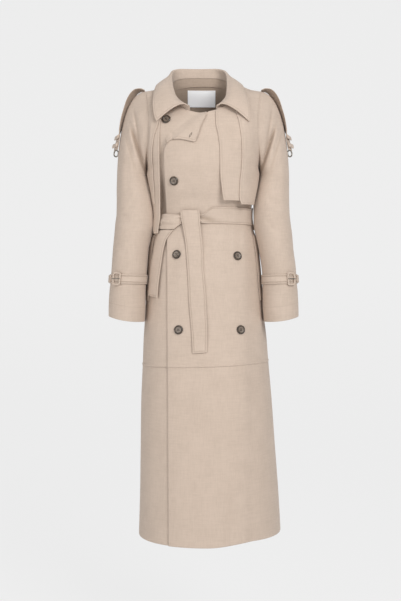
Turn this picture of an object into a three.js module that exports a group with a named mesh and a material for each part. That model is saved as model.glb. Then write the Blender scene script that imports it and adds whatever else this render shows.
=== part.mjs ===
// A long double-breasted trench coat, filled out as if worn, with a tied cloth belt.
// Millimetres, +Z up. The origin lies between the shoulders, level with the shoulder seams.
// The wearer's left is +X and the front faces -Y.
import * as THREE from "three";

// Driving dimensions
const CLOTH = 2.0;
const SEAM_GAP = 0.4;
const UNDERARM = -222;
const SHOULDER = { half: 167, drop: 13, end: 1, bend: 1.3 };
const NECK = { half: 98, side: 14, front: -80, back: 29, climbFront: 70, climbBack: 260, bend: 0.8 };
const BODY_POWER = 2.2;
const ROLL_START = -130;
const LAP = { lift: 3.6, end: 104, narrow: 60, narrows: [-250, -90], fade: [2, 36] };
// The skirt seam and the hem rise towards the wearer's left.
const SEAM = { low: -779, rise: 11.5, from: -180, to: 190 };
const HEM = { low: -1257, rise: 12, from: 10, to: 140 };
const BELT = { top: -338, bottom: -384, thick: 3, gap: 1.1, columns: 60, dip: 22 };
const TAIL_THICK = 2.4;
const KNOT_BASE = 9.2;
const CUFF_STRAP = { top: -524, bottom: -550.5, thick: 2.4, gap: 1.3 };
const CUFF_TIP = { turn0: 1.66, turn1: 2.12, inset: 2, lift: 3.2 };
const STRAP = { width: 32, thick: 2.2, lean: 10 };
const KEEPER = { width: 37, thick: 2.4, gap: 0.5 };
const RING = { radius: 9, wire: 2, x: 246, y: -12.5, z: -179.4, slant: -0.35 };
const BUCKLE = { width: 29, height: 37, bar: 5.5, thick: 4, pin: 1.3, pinGap: 0.4, turn: 1.4 };
const LABEL = { mid: -4, half: 41, top: 20, bottom: -24.5, thick: 1 };
const BUTTON_GAP = 0.6;
const NECK_BUTTON_BASE = -0.4;

// Grid sizes: columns are counted over a quarter turn, rows over a height
const QUARTER = 10;
const ARMHOLE_ROWS = 9;
const LAP_COLUMNS = 4;
const ARM_RINGS = 12;
const HEAD_RINGS = 7;
const SKIRT_ROWS = 6;
const FLAP_ROWS = 12;

const table = (names, rows) => rows.map((row) => Object.fromEntries(names.map((n, i) => [n, row[i]])));

// The body's level sections: half is the section's own half width, reach is how far the cloth goes.
const BODY = table(["z", "mid", "half", "reach", "front", "back"], [
  [-1257, 19.5, 202, 202, 176, 185],
  [-1150, 18, 197.5, 197.5, 172, 180],
  [-1000, 13.5, 191, 191, 166, 173],
  [-880, 10, 186, 186, 159, 166],
  [-771, 7.5, 179, 179, 152, 158],
  [-700, 6, 175, 175, 147, 153],
  [-640, 4.5, 169.5, 169.5, 141, 147],
  [-560, 3, 164, 164, 133, 138],
  [-480, 2.5, 158, 158, 120, 122],
  [-420, 2, 150.5, 150.5, 107, 107],
  [-385, 1.5, 139.5, 139.5, 98, 96],
  [-355, 1.5, 136, 136, 95, 92],
  [-325, 1, 138.5, 138.5, 100, 96],
  [-290, 1, 146.5, 146.5, 114, 106],
  [-260, 0.5, 153.5, 153.5, 123, 113],
  [-222, 0, 160, 160, 130, 118],
  [-180, 0, 176, 156, 131, 120],
  [-120, 0, 200, 153, 121, 117],
  [-60, 0, 215, 158, 101, 104],
  [-20, 0, 222, 164, 86, 90],
  [14, 0, 225, 167, 76, 76],
  [60, 0, 226, 167, 68, 66],
]);

// The sleeves' rings: outer and inner edges as seen from the front, half depth, and middle in Y.
const SLEEVES = {
  left: table(["z", "outer", "inner", "depth", "mid"], [
    [-655, 267.5, 172, 60, -56],
    [-617, 267, 168.5, 60, -55],
    [-566, 264.5, 168, 60, -53],
    [-537, 261.5, 169, 60, -51],
    [-509, 260.5, 168, 61, -49],
    [-452, 254, 160.5, 63, -43],
    [-409, 251, 150, 64, -37],
    [-380, 247.5, 143.5, 65, -32],
    [-351, 245, 143, 66, -26],
    [-323, 244.5, 144, 67, -20],
    [-280, 245, 152, 69, -10],
    [-245, 245.5, 161, 71, -4],
  ]),
  right: table(["z", "outer", "inner", "depth", "mid"], [
    [-655, 264, 164.5, 60, -56],
    [-617, 264, 162.5, 60, -55],
    [-566, 261.5, 162, 60, -53],
    [-537, 258, 161, 60, -51],
    [-509, 256.5, 160, 61, -49],
    [-452, 253, 155, 63, -43],
    [-409, 249.5, 146.5, 64, -37],
    [-380, 247.5, 139, 65, -32],
    [-351, 244.5, 138.5, 66, -26],
    [-323, 244.5, 140, 67, -20],
    [-280, 245.5, 150, 69, -10],
    [-245, 245, 160.5, 71, -4],
  ]),
};
const CUFF = -652;
const BICEP = -245;
const CUFF_TILT = { slope: 0.19, power: 6 };
// How a sleeve leaves the armhole and arrives at the arm: directions, and shares of the chord.
const HEAD = {
  back: 0.62, fall: -0.16, out: 0.12, arrive: 0.02, leave: [0.7, 0.82], land: [0.8, 1.1], seam: 0.9,
  outPower: 0.8, downPower: 1.1, crowd: 1.15,
};

// The overlapping front edge of the wearer's left front, seen from the front.
const FRONT_EDGE = table(["z", "x"], [
  [-1257, -91.5], [-771, -95], [-355, -100], [-270, -103], [-171, -106], [-80, -106],
]);
// The line along which its top corner is turned down, and the turned corner's outline.
const ROLL_LINE = { x0: -106, z0: -171, x1: 12.5, z1: -81.5 };
const CORNER_LIFT = { start: 3, swell: 2.5, wave: 2.2, below: 1 };

// Soft folds in the cloth, as lines in the front view: which side they are on, depth and half width.
const FOLDS = table(["part", "x0", "z0", "x1", "z1", "depth", "half"], [
  ["sleeve", 200, -100, 162, -218, 11, 12],
  ["sleeve", 225, -92, 202, -188, 4, 9],
  ["sleeve", 196, -55, 172, -170, 4, 9],
  ["recess", -114, -150, -112, -330, 9, 9],
  ["body", 104, -300, 100, -470, 3, 12],
  ["body", 40, -390, 30, -560, 2.5, 16],
  ["body", -72, -392, -84, -560, 2.5, 14],
  ["body", -40, -330, -66, -240, 2.5, 16],
  ["back", 70, -410, 92, -720, 6, 22],
  ["back", -70, -410, -88, -720, 6, 22],
  ["back", 0, -405, 4, -640, 4, 18],
  ["back", 95, -325, 118, -200, 5, 16],
  ["back", -95, -325, -118, -200, 5, 16],
]);

// The turned corner: points near the roll line and on its free edge, seen from the front.
const CORNER = table(["x0", "x1", "z1"], [
  [-103, -98, -167.5], [-92, -85, -158], [-72, -66, -158], [-45, -42, -162.5], [-24, -23, -166.5],
  [-8, -14, -150], [3, -5, -122], [10, 7, -97],
]);

// The flaps over the chest: each row gives a height and the flap's inner and outer edges.
const FLAPS = {
  left_flap_inner: table(["z", "x0", "x1", "lift"], [
    [-320, 54.5, 116, 3.4], [-290, 50, 114, 3.4], [-240, 45, 112, 3.4], [-190, 44.5, 112, 3.4],
    [-150, 41, 110, 3.4], [-110, 34, 106, 3.4], [-78, 34, 98, 3.6], [-66, 54, 94, 4], [-52, 76, 86, 4],
  ]),
  left_flap_outer: table(["z", "x0", "x1", "lift"], [
    [-329, 99, 136, 7], [-308, 94.5, 140, 7], [-270, 96, 148, 7], [-230, 100, 153, 7], [-190, 102, 151.5, 7],
    [-150, 101, 149.5, 6.6], [-112, 96, 149.5, 6.6], [-75, 88, 151, 6.6], [-40, 98, 155, 5.6],
    [-10, 108, 160, 3.4],
  ]),
  right_flap_long: table(["z", "x0", "x1", "lift"], [
    [-411, -135, -123, 4], [-395, -137, -121.5, 4], [-360, -137, -116.5, 4], [-325, -138, -117, 4],
    [-270, -140, -118, 3.4], [-230, -140, -119, 3.4], [-190, -140, -119.5, 3.4], [-150, -139, -119, 3.4],
    [-108, -137, -117, 3.4], [-80, -134, -112, 3.4],
  ]),
  right_flap_outer: table(["z", "x0", "x1", "lift"], [
    [-327, -134, -129.5, 7], [-290, -140, -131, 7], [-260, -147, -133.5, 7], [-230, -152, -135, 7],
    [-190, -151.5, -137, 7], [-150, -149.5, -133, 6.6], [-112, -149.5, -122, 7], [-75, -151, -112, 7],
    [-40, -155, -110, 5], [-10, -160, -112, 3.4],
  ]),
};
const HANG_FROM = -228;
const HANG_FOLLOW = 0.3;

// The collar, from the centre back to one front end: the crest of the fold, the middle and the free edge,
// and how far the whole leans to the wearer's right.
const COLLAR_COLUMNS = ["turn", "cx", "cy", "cz", "mx", "my", "mz", "ex", "ey", "ez", "lean"];
const COLLAR = table(COLLAR_COLUMNS, [
  [0.0, 0, 79, 82, 0, 93, 57, 0, 103, 8, 13],
  [0.2, 46, 72, 81, 52, 87, 57, 60, 98, 8, 13],
  [0.36, 73, 41, 68, 86, 49, 48, 99, 60, 13, 12],
  [0.5, 79, 1, 44, 97, 1, 38, 117, -2, 20, 10.5],
  [0.64, 77, -46.5, 9.5, 103, -54, 8, 128, -62, -18, 9],
  [0.78, 71, -81, -27, 99, -92, -30, 132, -93, -58, 6],
  [0.9, 54, -98, -52, 88, -109, -51, 131, -105, -87, 3],
  [1.0, 37, -107, -65, 71, -119, -65, 127, -110, -106, 0.5],
]);
const COLLAR_ENDS = [0.15, 0.2, 0.25, 0.3, 0.35];
const COLLAR_BACK_STATIONS = 16;
const STAND_SHARE = 0.5;
const CREST = { rise: 2.6, turn: 6, start: 1.2, spread: 18 };
const STAND_RAISE = 0.68;

// The buttons, by place in the front view; the first is on the wearer's right front, under the collar.
const BUTTONS = table(["name", "x", "z"], [
  ["button_neck", -101, -98],
  ["button_chest", -78, -267],
  ["button_hip_right", -70, -471],
  ["button_hip_left", 92, -474.5],
  ["button_low_right", -65, -676],
  ["button_low_left", 100, -676],
]);
const BUTTON_PROFILE = table(["r", "h"], [
  [0, 0], [11.4, 0], [12.5, 1.4], [12.1, 3.4], [10.2, 4.2], [8.2, 3], [0, 2.6],
]);

// Ribbons of the belt: height, edges and distance from the body.
const TAIL_LONG = table(["z", "x0", "x1", "lift"], [
  [-738, -27, 10, 7.6], [-700, -29, 11, 7], [-600, -37, 8, 7], [-520, -41, 2, 7], [-450, -46, -2, 8.6],
  [-410, -51, -5, 12], [-385, -55, -7.5, 14.6], [-362, -58, -8.5, 15.5], [-346, -59, -10, 14.6],
]);
const TAIL_SHORT = table(["z", "x0", "x1", "lift"], [
  [-586, -149, -123.5, 8], [-540, -147, -119.5, 7], [-500, -142, -115, 7], [-460, -136, -109, 7.4],
  [-430, -129, -101, 8.5], [-404.5, -115, -82, 11],
]);
const KNOT = table(["x", "z0", "z1", "lift"], [
  [-122, -397, -385, 11], [-114, -401, -371, 14], [-105, -402, -356, 16.5], [-92, -403, -356, 18],
  [-78, -402, -358, 18], [-66, -393, -360, 14], [-57, -387, -362, 11.6],
]);

// The pocket welts and the belt loops, as turns round the body.
const WELT = table(["z", "turn0", "turn1"], [
  [-596, 0.75, 0.905], [-535, 0.745, 0.9], [-473, 0.74, 0.895], [-412, 0.735, 0.89],
]);
const WELT_LIFT = 3.4;
const LOOP = { turn0: 1.07, turn1: 1.13, top: -330, bottom: -393, thick: 2.2, gap: 0.6 };

// The shoulder strap's middle line on the wearer's left.
const STRAP_PATH = table(["s", "x", "y", "z"], [
  [0, 166, 0, 3.8], [1, 177, 0, 7.8], [2, 190, 0, 5], [3, 204, 0, -5], [4, 219, -1, -26],
  [5, 229.5, -3, -53.5], [6, 235.5, -6, -78], [7, 240, -8, -110], [8, 245, -10, -140], [9, 250, -12, -168],
]);
const KEEPERS = table(["name", "from", "to"], [["upper", 7.68, 7.98], ["lower", 8.56, 8.9]]);

// A smooth, monotone cubic through a table's column.
function curveOf(rows, key, along = "z") {
  const sorted = [...rows].sort((p, q) => p[along] - q[along]);
  const x = sorted.map((r) => r[along]);
  const y = sorted.map((r) => r[key]);
  const secant = x.slice(1).map((v, i) => (y[i + 1] - y[i]) / (v - x[i]));
  const slope = x.map((_, i) => {
    if (i === 0) return secant[0];
    if (i === x.length - 1) return secant[i - 1];
    const [p, q] = [secant[i - 1], secant[i]];
    return p * q <= 0 ? 0 : (2 * p * q) / (p + q);
  });
  return (at) => {
    if (at <= x[0]) return y[0];
    if (at >= x[x.length - 1]) return y[y.length - 1];
    const i = x.findIndex((v) => v > at) - 1;
    const h = x[i + 1] - x[i];
    const t = (at - x[i]) / h;
    const [t2, t3] = [t * t, t * t * t];
    return (
      (2 * t3 - 3 * t2 + 1) * y[i] +
      (t3 - 2 * t2 + t) * h * slope[i] +
      (3 * t2 - 2 * t3) * y[i + 1] +
      (t3 - t2) * h * slope[i + 1]
    );
  };
}

// The same table at evenly spaced heights.
function resampled(rows, count) {
  const curves = Object.keys(rows[0]).map((key) => [key, curveOf(rows, key)]);
  const [low, high] = [rows[0].z, rows[rows.length - 1].z];
  return span(count).map((t) => Object.fromEntries(curves.map(([k, f]) => [k, f(mix(low, high, t))])));
}

const clamp = (v, low = 0, high = 1) => Math.min(high, Math.max(low, v));
const mix = (p, q, t) => p + (q - p) * t;
const smooth = (low, high, v) => {
  const t = clamp((v - low) / (high - low));
  return t * t * (3 - 2 * t);
};
const span = (count) => Array.from({ length: count + 1 }, (_, i) => i / count);
const vec = (x, y, z) => new THREE.Vector3(x, y, z);

const bodyKeys = Object.keys(BODY[0]).slice(1);
const body = Object.fromEntries(bodyKeys.map((key) => [key, curveOf(BODY, key)]));
const frontEdge = curveOf(FRONT_EDGE, "x");

// The height of the shoulder ridge at x; inside the neck it climbs as the neck does.
function ridge(x, climb = NECK.climbFront) {
  const away = Math.abs(x);
  if (away < NECK.half) return NECK.side + climb * (1 - (away / NECK.half) ** 2) ** NECK.bend;
  const share = clamp((SHOULDER.half - away) / (SHOULDER.half - NECK.half));
  return SHOULDER.end + SHOULDER.drop * share ** SHOULDER.bend;
}

// The heights of the skirt seam and of the hem at x.
const seamAt = (x) => SEAM.low + SEAM.rise * clamp((x - SEAM.from) / (SEAM.to - SEAM.from)) ** 2;
const hemAt = (x) => HEM.low + HEM.rise * smooth(HEM.from, HEM.to, x);

// How far a fold pushes a point in: a soft trough along its line, faded at both ends.
const FOLD_FADE = { start: [-0.15, 0.3], end: [0.75, 1.15] };
function foldDepth(part, x, z) {
  return FOLDS.filter((f) => f.part === part).reduce((sum, f) => {
    const [dx, dz] = [f.x1 - f.x0, f.z1 - f.z0];
    const length = Math.hypot(dx, dz);
    const along = ((x - f.x0) * dx + (z - f.z0) * dz) / length ** 2;
    const across = ((x - f.x0) * dz - (z - f.z0) * dx) / length / f.half;
    const fade = smooth(...FOLD_FADE.start, along) * (1 - smooth(...FOLD_FADE.end, along));
    return sum + f.depth * fade * Math.exp(-across * across);
  }, 0);
}

// The coat's outer face: turn 0 is the centre front, 1 the wearer's left side, 2 the centre back.
function bodyPoint(turn, z, isFront = Math.abs(turn) <= 1) {
  const angle = (turn * Math.PI) / 2;
  const x = body.mid(z) + body.reach(z) * Math.sin(angle);
  const share = clamp(Math.abs(x - body.mid(z)) / body.half(z));
  const side = (1 - share ** BODY_POWER) ** (1 / BODY_POWER);
  const top = ridge(x, isFront ? NECK.climbFront : NECK.climbBack);
  const climb = clamp((z - ROLL_START) / (top - ROLL_START));
  const depth = side * Math.sqrt(1 - climb * climb);
  const y = isFront ? -body.front(z) * depth : body.back(z) * depth;
  const fold = foldDepth(isFront ? "body" : "back", x, z) * side;
  return vec(x, y + (isFront ? fold : -fold), z);
}

// The turn at which the front has this x.
const turnAt = (x, z) => (Math.asin(clamp((x - body.mid(z)) / body.reach(z), -1, 1)) * 2) / Math.PI;

// A point moved off a surface along its normal, which points away from inside.
function lifted(surface, a, b, lift, inside) {
  const step = { a: 0.004, b: 0.6 };
  const p = surface(a, b);
  if (lift === 0) return p;
  const along = surface(a + step.a, b).sub(surface(a - step.a, b));
  const up = surface(a, b + step.b).sub(surface(a, b - step.b));
  const normal = along.cross(up).normalize();
  if (normal.dot(p.clone().sub(inside(p))) < 0) normal.negate();
  return p.addScaledVector(normal, lift);
}

const axisOf = (p) => vec(p.x * 0.5, 0, p.z);
const lapLift = (x) => LAP.lift * (1 - smooth(LAP.end + LAP.fade[0], LAP.end + LAP.fade[1], x));

// A point over the coat's front at x and z.
const SIDE_LIMIT = 0.985;
const frontPoint = (x, z, lift) =>
  lifted(bodyPoint, clamp(turnAt(x, z), -SIDE_LIMIT, SIDE_LIMIT), z, lift, axisOf);

// The grid's normals, by the difference of each point's neighbours.
function gridNormals(grid, closed) {
  const columns = grid[0].length;
  return grid.map((row, i) =>
    row.map((_, j) => {
      const left = closed ? (j + columns - 1) % columns : Math.max(0, j - 1);
      const right = closed ? (j + 1) % columns : Math.min(columns - 1, j + 1);
      const along = row[right].clone().sub(row[left]);
      const up = grid[Math.min(grid.length - 1, i + 1)][j].clone().sub(grid[Math.max(0, i - 1)][j]);
      return along.cross(up).normalize();
    }),
  );
}

// A closed wall from a grid of outer points: the inner points are a thickness away, the edges shut.
function wall(grid, thick, { closed = false, keep = (p) => p, flip = false } = {}) {
  const normals = gridNormals(grid, closed);
  const sign = flip ? -1 : 1;
  const inner = grid.map((row, i) =>
    row.map((p, j) => keep(p.clone().addScaledVector(normals[i][j], -thick * sign))),
  );
  return between(grid, inner, closed);
}

// A closed body between two grids of the same size.
function between(grid, inner, closed = false) {
  const [rows, columns] = [grid.length, grid[0].length];
  const points = [...grid.flat(), ...inner.flat()];
  const at = (layer, i, j) => layer * rows * columns + i * columns + (j % columns);
  const index = [];
  const quad = (p, q, r, s) => index.push(p, q, r, p, r, s);
  const last = closed ? columns : columns - 1;
  for (let i = 0; i < rows - 1; i += 1) {
    for (let j = 0; j < last; j += 1) {
      quad(at(0, i, j), at(0, i, j + 1), at(0, i + 1, j + 1), at(0, i + 1, j));
      quad(at(1, i, j), at(1, i + 1, j), at(1, i + 1, j + 1), at(1, i, j + 1));
    }
  }
  for (let j = 0; j < last; j += 1) {
    quad(at(0, 0, j + 1), at(0, 0, j), at(1, 0, j), at(1, 0, j + 1));
    quad(at(0, rows - 1, j), at(0, rows - 1, j + 1), at(1, rows - 1, j + 1), at(1, rows - 1, j));
  }
  if (!closed) {
    for (let i = 0; i < rows - 1; i += 1) {
      quad(at(0, i, 0), at(0, i + 1, 0), at(1, i + 1, 0), at(1, i, 0));
      const end = columns - 1;
      quad(at(0, i + 1, end), at(0, i, end), at(1, i, end), at(1, i + 1, end));
    }
  }
  return facingOut(points, index);
}

// Geometry from points and triangles, turned round if its faces point inwards.
function facingOut(points, index) {
  let volume = 0;
  for (let k = 0; k < index.length; k += 3) {
    const [p, q, r] = [points[index[k]], points[index[k + 1]], points[index[k + 2]]];
    volume += p.dot(q.clone().cross(r));
  }
  const faces = volume < 0 ? index.map((_, k) => index[k - (k % 3) + [0, 2, 1][k % 3]]) : index;
  return new THREE.BufferGeometry().setFromPoints(points).setIndex(faces);
}

const coat = new THREE.Group();
const cloth = new THREE.MeshStandardMaterial({ color: 0xcdb9a2, roughness: 0.92, metalness: 0 });
const horn = new THREE.MeshStandardMaterial({ color: 0x3b2c22, roughness: 0.35, metalness: 0 });
const metal = new THREE.MeshStandardMaterial({ color: 0x6f6a64, roughness: 0.4, metalness: 0.9 });
const satin = new THREE.MeshStandardMaterial({ color: 0xe9e8e6, roughness: 0.6, metalness: 0 });

function add(name, geometry, material = cloth) {
  const mesh = new THREE.Mesh(geometry, material);
  mesh.name = name;
  coat.add(mesh);
  return mesh;
}

// Neckline and top edges
function neckFront(x) {
  const share = clamp(Math.abs(x) / NECK.half);
  return NECK.front + (NECK.side - NECK.front) * (1 - Math.sqrt(1 - share ** 2));
}
const neckBack = (x) => NECK.back - (NECK.back - NECK.side) * (x / NECK.half) ** 2;
const rollLine = (x) =>
  mix(ROLL_LINE.z0, ROLL_LINE.z1, clamp((x - ROLL_LINE.x0) / (ROLL_LINE.x1 - ROLL_LINE.x0)));
const HIDDEN_TOP_SLOPE = -0.6;

const TOPS = {
  back: (x) => (Math.abs(x) < NECK.half ? neckBack(x) : ridge(x)),
  right: (x) => {
    if (x < -NECK.half) return ridge(x);
    return x < 0 ? neckFront(x) : NECK.front + HIDDEN_TOP_SLOPE * x;
  },
  left: (x) => {
    if (x < ROLL_LINE.x1) return rollLine(x);
    return x < NECK.half ? neckFront(x) : ridge(x);
  },
};

// The free edges of the two fronts: the left front laps over the right one.
const lapEdge = {
  left: (z) => frontEdge(z),
  right: (z) => mix(LAP.end, LAP.narrow, smooth(...LAP.narrows, z)),
};
const NECK_TURN = 0.4;

// Where a column of a panel stands at height z. Past the middle the lapping part is scaled to its edge.
function panelX(panel, turn, z) {
  const x = body.mid(z) + body.reach(z) * Math.sin((turn * Math.PI) / 2);
  const lapping = (panel === "left" && turn < 0) || (panel === "right" && turn > 0);
  if (!lapping) return x;
  const share = Math.sin((Math.abs(turn) * Math.PI) / 2) / Math.sin((NECK_TURN * Math.PI) / 2);
  return mix(body.mid(z), lapEdge[panel](z), share);
}

// The height at which a column meets the panel's top edge, by passes that close in on it.
const TOP_PASSES = 12;
const TOP_STEP = 0.7;
function topOf(panel, turn) {
  let z = 0;
  for (let pass = 0; pass < TOP_PASSES; pass += 1) {
    z = mix(z, TOPS[panel](panelX(panel, turn, z)), TOP_STEP);
  }
  return z;
}

const eased = (t) => (1 - Math.cos(t * Math.PI)) / 2;

// A panel's outer point for a column and a height. The side seam's own columns aren't lifted.
const SEAM_TURN = 0.97;
function panelPoint(panel, turn, z) {
  if (panel === "back") {
    const p = bodyPoint(turn >= 0 ? 2 - turn : -2 - turn, z, false);
    p.y = Math.max(p.y, 0) + SEAM_GAP / 2;
    return p;
  }
  const x = panelX(panel, turn, z);
  const lift = panel === "left" ? lapLift(x) : 0;
  const edge = Math.abs(turn) > SEAM_TURN || lift === 0;
  const p = edge ? bodyPoint(turnAt(x, z), z) : frontPoint(x, z, lift);
  if (panel === "right") p.y += foldDepth("recess", x, z);
  p.y = Math.min(p.y, 0) - SEAM_GAP / 2;
  return p;
}

const PANEL_TURNS = {
  back: span(2 * QUARTER).map((t) => 2 * t - 1),
  right: span(QUARTER + LAP_COLUMNS).map((t) => -1 + t * (1 + NECK_TURN)),
  left: span(QUARTER + LAP_COLUMNS).map((t) => -NECK_TURN + t * (1 + NECK_TURN)),
};
// Rows crowd towards the waist, where the cloth turns in; the skirt seam lies below the lowest.
const LOW_ROWS = [-720, -660, -600, -540, -485, -440, -410, -384, -361, -338, -312, -285, -255];

// The seam's or the hem's height at each column, moved up by a gap.
const levelRow = (panel, heightAt, start, gap) =>
  PANEL_TURNS[panel].map((turn) => heightAt(panelX(panel, turn, start)) + gap);

// A panel's rows above the skirt seam, up to its top edge.
function upperGrid(panel) {
  const turns = PANEL_TURNS[panel];
  const seam = levelRow(panel, seamAt, SEAM.low, SEAM_GAP);
  const tops = turns.map((turn) => topOf(panel, turn));
  const heights = [
    seam,
    ...LOW_ROWS.map((z) => turns.map(() => z)),
    ...span(ARMHOLE_ROWS).map((t) => tops.map((top) => mix(UNDERARM, top, eased(t)))),
  ];
  return heights.map((row) => turns.map((turn, j) => panelPoint(panel, turn, row[j])));
}

// A skirt panel's rows, from the hem to the seam.
function skirtGrid(panel) {
  const hem = levelRow(panel, hemAt, HEM.low, 0);
  const seam = levelRow(panel, seamAt, SEAM.low, -SEAM_GAP);
  return span(SKIRT_ROWS).map((t) =>
    PANEL_TURNS[panel].map((turn, j) => panelPoint(panel, turn, mix(hem[j], seam[j], t))));
}

// Inner points stay on their own side of the side and shoulder seams.
const keepFront = (p) => p.setY(Math.min(p.y, -SEAM_GAP / 2));
const keepBack = (p) => p.setY(Math.max(p.y, SEAM_GAP / 2));

const PANEL_NAMES = { back: "back", right: "right_front", left: "left_front" };
for (const [panel, name] of Object.entries(PANEL_NAMES)) {
  const isBack = panel === "back";
  const options = { keep: isBack ? keepBack : keepFront, flip: isBack };
  add(name, wall(upperGrid(panel), CLOTH, options));
  add(name + "_skirt", wall(skirtGrid(panel), CLOTH, options));
}

// Sleeves
const sleeveCurves = Object.fromEntries(
  Object.entries(SLEEVES).map(([side, rows]) => [
    side,
    Object.fromEntries(["outer", "inner", "depth", "mid"].map((k) => [k, curveOf(rows, k)])),
  ]),
);

// A ring of the arm: turn 0 faces the body, 1 the front, 2 outwards, 3 the back.
function armPoint(side, turn, z) {
  const sign = side === "left" ? 1 : -1;
  const curves = sleeveCurves[side];
  const angle = (turn * Math.PI) / 2;
  const tilt = CUFF_TILT.slope * clamp((BICEP - z) / (BICEP - CUFF)) ** CUFF_TILT.power;
  const width = (curves.outer(z) - curves.inner(z)) / 2;
  const height = z - tilt * width * Math.cos(angle);
  const middle = (curves.outer(height) + curves.inner(height)) / 2;
  const half = (curves.outer(height) - curves.inner(height)) / 2;
  const x = middle - half * Math.cos(angle);
  return vec(sign * x, curves.mid(height) - curves.depth(height) * Math.sin(angle), height);
}

// The armhole's edge, in the same rows as the panels have there.
function armholePoint(side, turn) {
  const sign = side === "left" ? 1 : -1;
  const isFront = turn <= 2;
  const share = isFront ? turn / 2 : (4 - turn) / 2;
  const panel = isFront ? side : "back";
  const z = mix(UNDERARM, topOf(panel, sign), eased(share));
  return panelPoint(panel, sign, z);
}

// The sleeve's outer face: ring 0 is the armhole seam, 1 the arm below the armpit, 2 the cuff's hem.
function sleevePoint(side, turn, ring) {
  const sign = side === "left" ? 1 : -1;
  if (ring >= 1) return folded(armPoint(side, turn, mix(BICEP, CUFF, ring - 1)), turn);
  const start = armholePoint(side, turn);
  const end = armPoint(side, turn, BICEP);
  const chord = start.distanceTo(end);
  const lift = (1 - Math.cos((turn * Math.PI) / 2)) / 2;
  const facing = Math.sin((Math.min(turn, 4 - turn) * Math.PI) / 2) * (turn > 2 ? -1 : 1);
  const out = vec(sign, HEAD.back * facing, HEAD.fall).normalize();
  const down = vec(sign * HEAD.out, 0, -1);
  out.multiplyScalar(lift ** HEAD.outPower);
  down.multiplyScalar((1 - lift) ** HEAD.downPower);
  const away = out.add(down).normalize();
  const leave = away.clone().multiplyScalar(chord * mix(...HEAD.leave, lift));
  const arrive = vec(sign * HEAD.arrive, 0, -1).multiplyScalar(chord * mix(...HEAD.land, lift));
  const [t, t2, t3] = [ring, ring * ring, ring * ring * ring];
  const p = start
    .clone()
    .multiplyScalar(2 * t3 - 3 * t2 + 1)
    .addScaledVector(leave, t3 - 2 * t2 + t)
    .addScaledVector(end, 3 * t2 - 2 * t3)
    .addScaledVector(arrive, t3 - t2);
  p.addScaledVector(away, HEAD.seam * (1 - t) ** 2);
  return folded(p, turn);
}

// The folds that run from the shoulder to the armpit, in front and behind.
const FACING_POWER = 1.5;
function folded(p, turn) {
  const facing = Math.sin((turn * Math.PI) / 2);
  const depth = foldDepth("sleeve", Math.abs(p.x), p.z) * Math.abs(facing) ** FACING_POWER;
  return p.setY(p.y + Math.sign(facing) * depth);
}

const armTurns = [
  ...span(ARMHOLE_ROWS).map((t) => 2 * t),
  ...span(ARMHOLE_ROWS).slice(1, -1).map((t) => 2 + 2 * t),
];
const armRings = [
  ...span(HEAD_RINGS).map((t) => t ** HEAD.crowd),
  ...span(ARM_RINGS).slice(1).map((t) => 1 + t),
];
for (const side of ["left", "right"]) {
  const grid = armRings.map((ring) => armTurns.map((turn) => sleevePoint(side, turn, ring)));
  add(side + "_sleeve", wall(grid, CLOTH, { closed: true, flip: side === "left" }));
}

// Collar: stations run from the right front end round the back of the neck to the left front end.
const collarKeys = Object.keys(COLLAR[0]).slice(1);
const collar = Object.fromEntries(collarKeys.map((key) => [key, curveOf(COLLAR, key, "turn")]));

// A point of the neck's edge; between two columns of a panel it lies on the straight line that joins them.
const COLUMN_STEP = 0.1;
function neckPoint(panel, turn) {
  const low = Math.floor(turn / COLUMN_STEP + 1e-6) * COLUMN_STEP;
  const ends = [low, low + COLUMN_STEP].map((t) => panelPoint(panel, t, topOf(panel, t)));
  return ends[0].lerp(ends[1], clamp((turn - low) / COLUMN_STEP));
}

// A station's neck point, crest, middle and edge, and its way outwards.
function station(panel, sign, turn, column) {
  const lean = collar.lean(turn);
  const at = (k) => vec(sign * collar[k + "x"](turn) - lean, collar[k + "y"](turn), collar[k + "z"](turn));
  const crest = at("c");
  const out = vec(crest.x + lean, crest.y + CREST.spread, 0).normalize();
  return { neck: neckPoint(panel, sign * column), crest, middle: at("m"), edge: at("e"), out };
}

const frontStation = (side, sign) => (column) =>
  station(side, sign, 0.5 + (NECK_TURN - column) * 2, column);
const stations = [
  ...COLLAR_ENDS.map(frontStation("right", -1)),
  ...span(COLLAR_BACK_STATIONS).map((t) => {
    const turn = Math.abs(t - 0.5);
    return station("back", t < 0.5 ? -1 : 1, turn, 2 * turn * NECK_TURN);
  }),
  ...[...COLLAR_ENDS].reverse().map(frontStation("left", 1)),
];

// The stand, from the neck's edge half way up to the crest.
const standShares = [0, 0.5, 1];
const standGrid = standShares.map((t) =>
  stations.map(({ neck, crest }) => {
    const up = crest.clone().sub(neck);
    return neck.clone().addScaledVector(up, STAND_SHARE * t).addScaledVector(up.normalize(), STAND_RAISE);
  }),
);
add("collar_stand", wall(standGrid, CLOTH, { flip: true }));

// The fall, up from the stand, over the crest (rows 1 to 3) and down to the free edge.
const LAST_ROW = 8;
function fallPoint({ neck, crest, middle, edge, out }, row) {
  const start = neck.clone().lerp(crest, STAND_SHARE);
  const up = crest.clone().sub(start).normalize();
  if (row <= 1) return start.addScaledVector(up, CREST.start).lerp(crest, row);
  if (row === 2) return crest.clone().addScaledVector(up, CREST.rise).addScaledVector(out, CREST.turn / 2);
  const from = crest.clone().addScaledVector(out, CREST.turn);
  const t = (row - 3) / (LAST_ROW - 3);
  const bend = middle.clone().multiplyScalar(2).addScaledVector(from, -0.5).addScaledVector(edge, -0.5);
  return from
    .multiplyScalar((1 - t) ** 2)
    .addScaledVector(bend, 2 * t * (1 - t))
    .addScaledVector(edge, t * t);
}
const fallRows = [0, 0.5, 1, 2, 3, 4, 5, 6, 7, 8];
const fallGrid = fallRows.map((row) => stations.map((s) => fallPoint(s, row)));
add("collar_fall", wall(fallGrid, CLOTH, { flip: true }));

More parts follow.
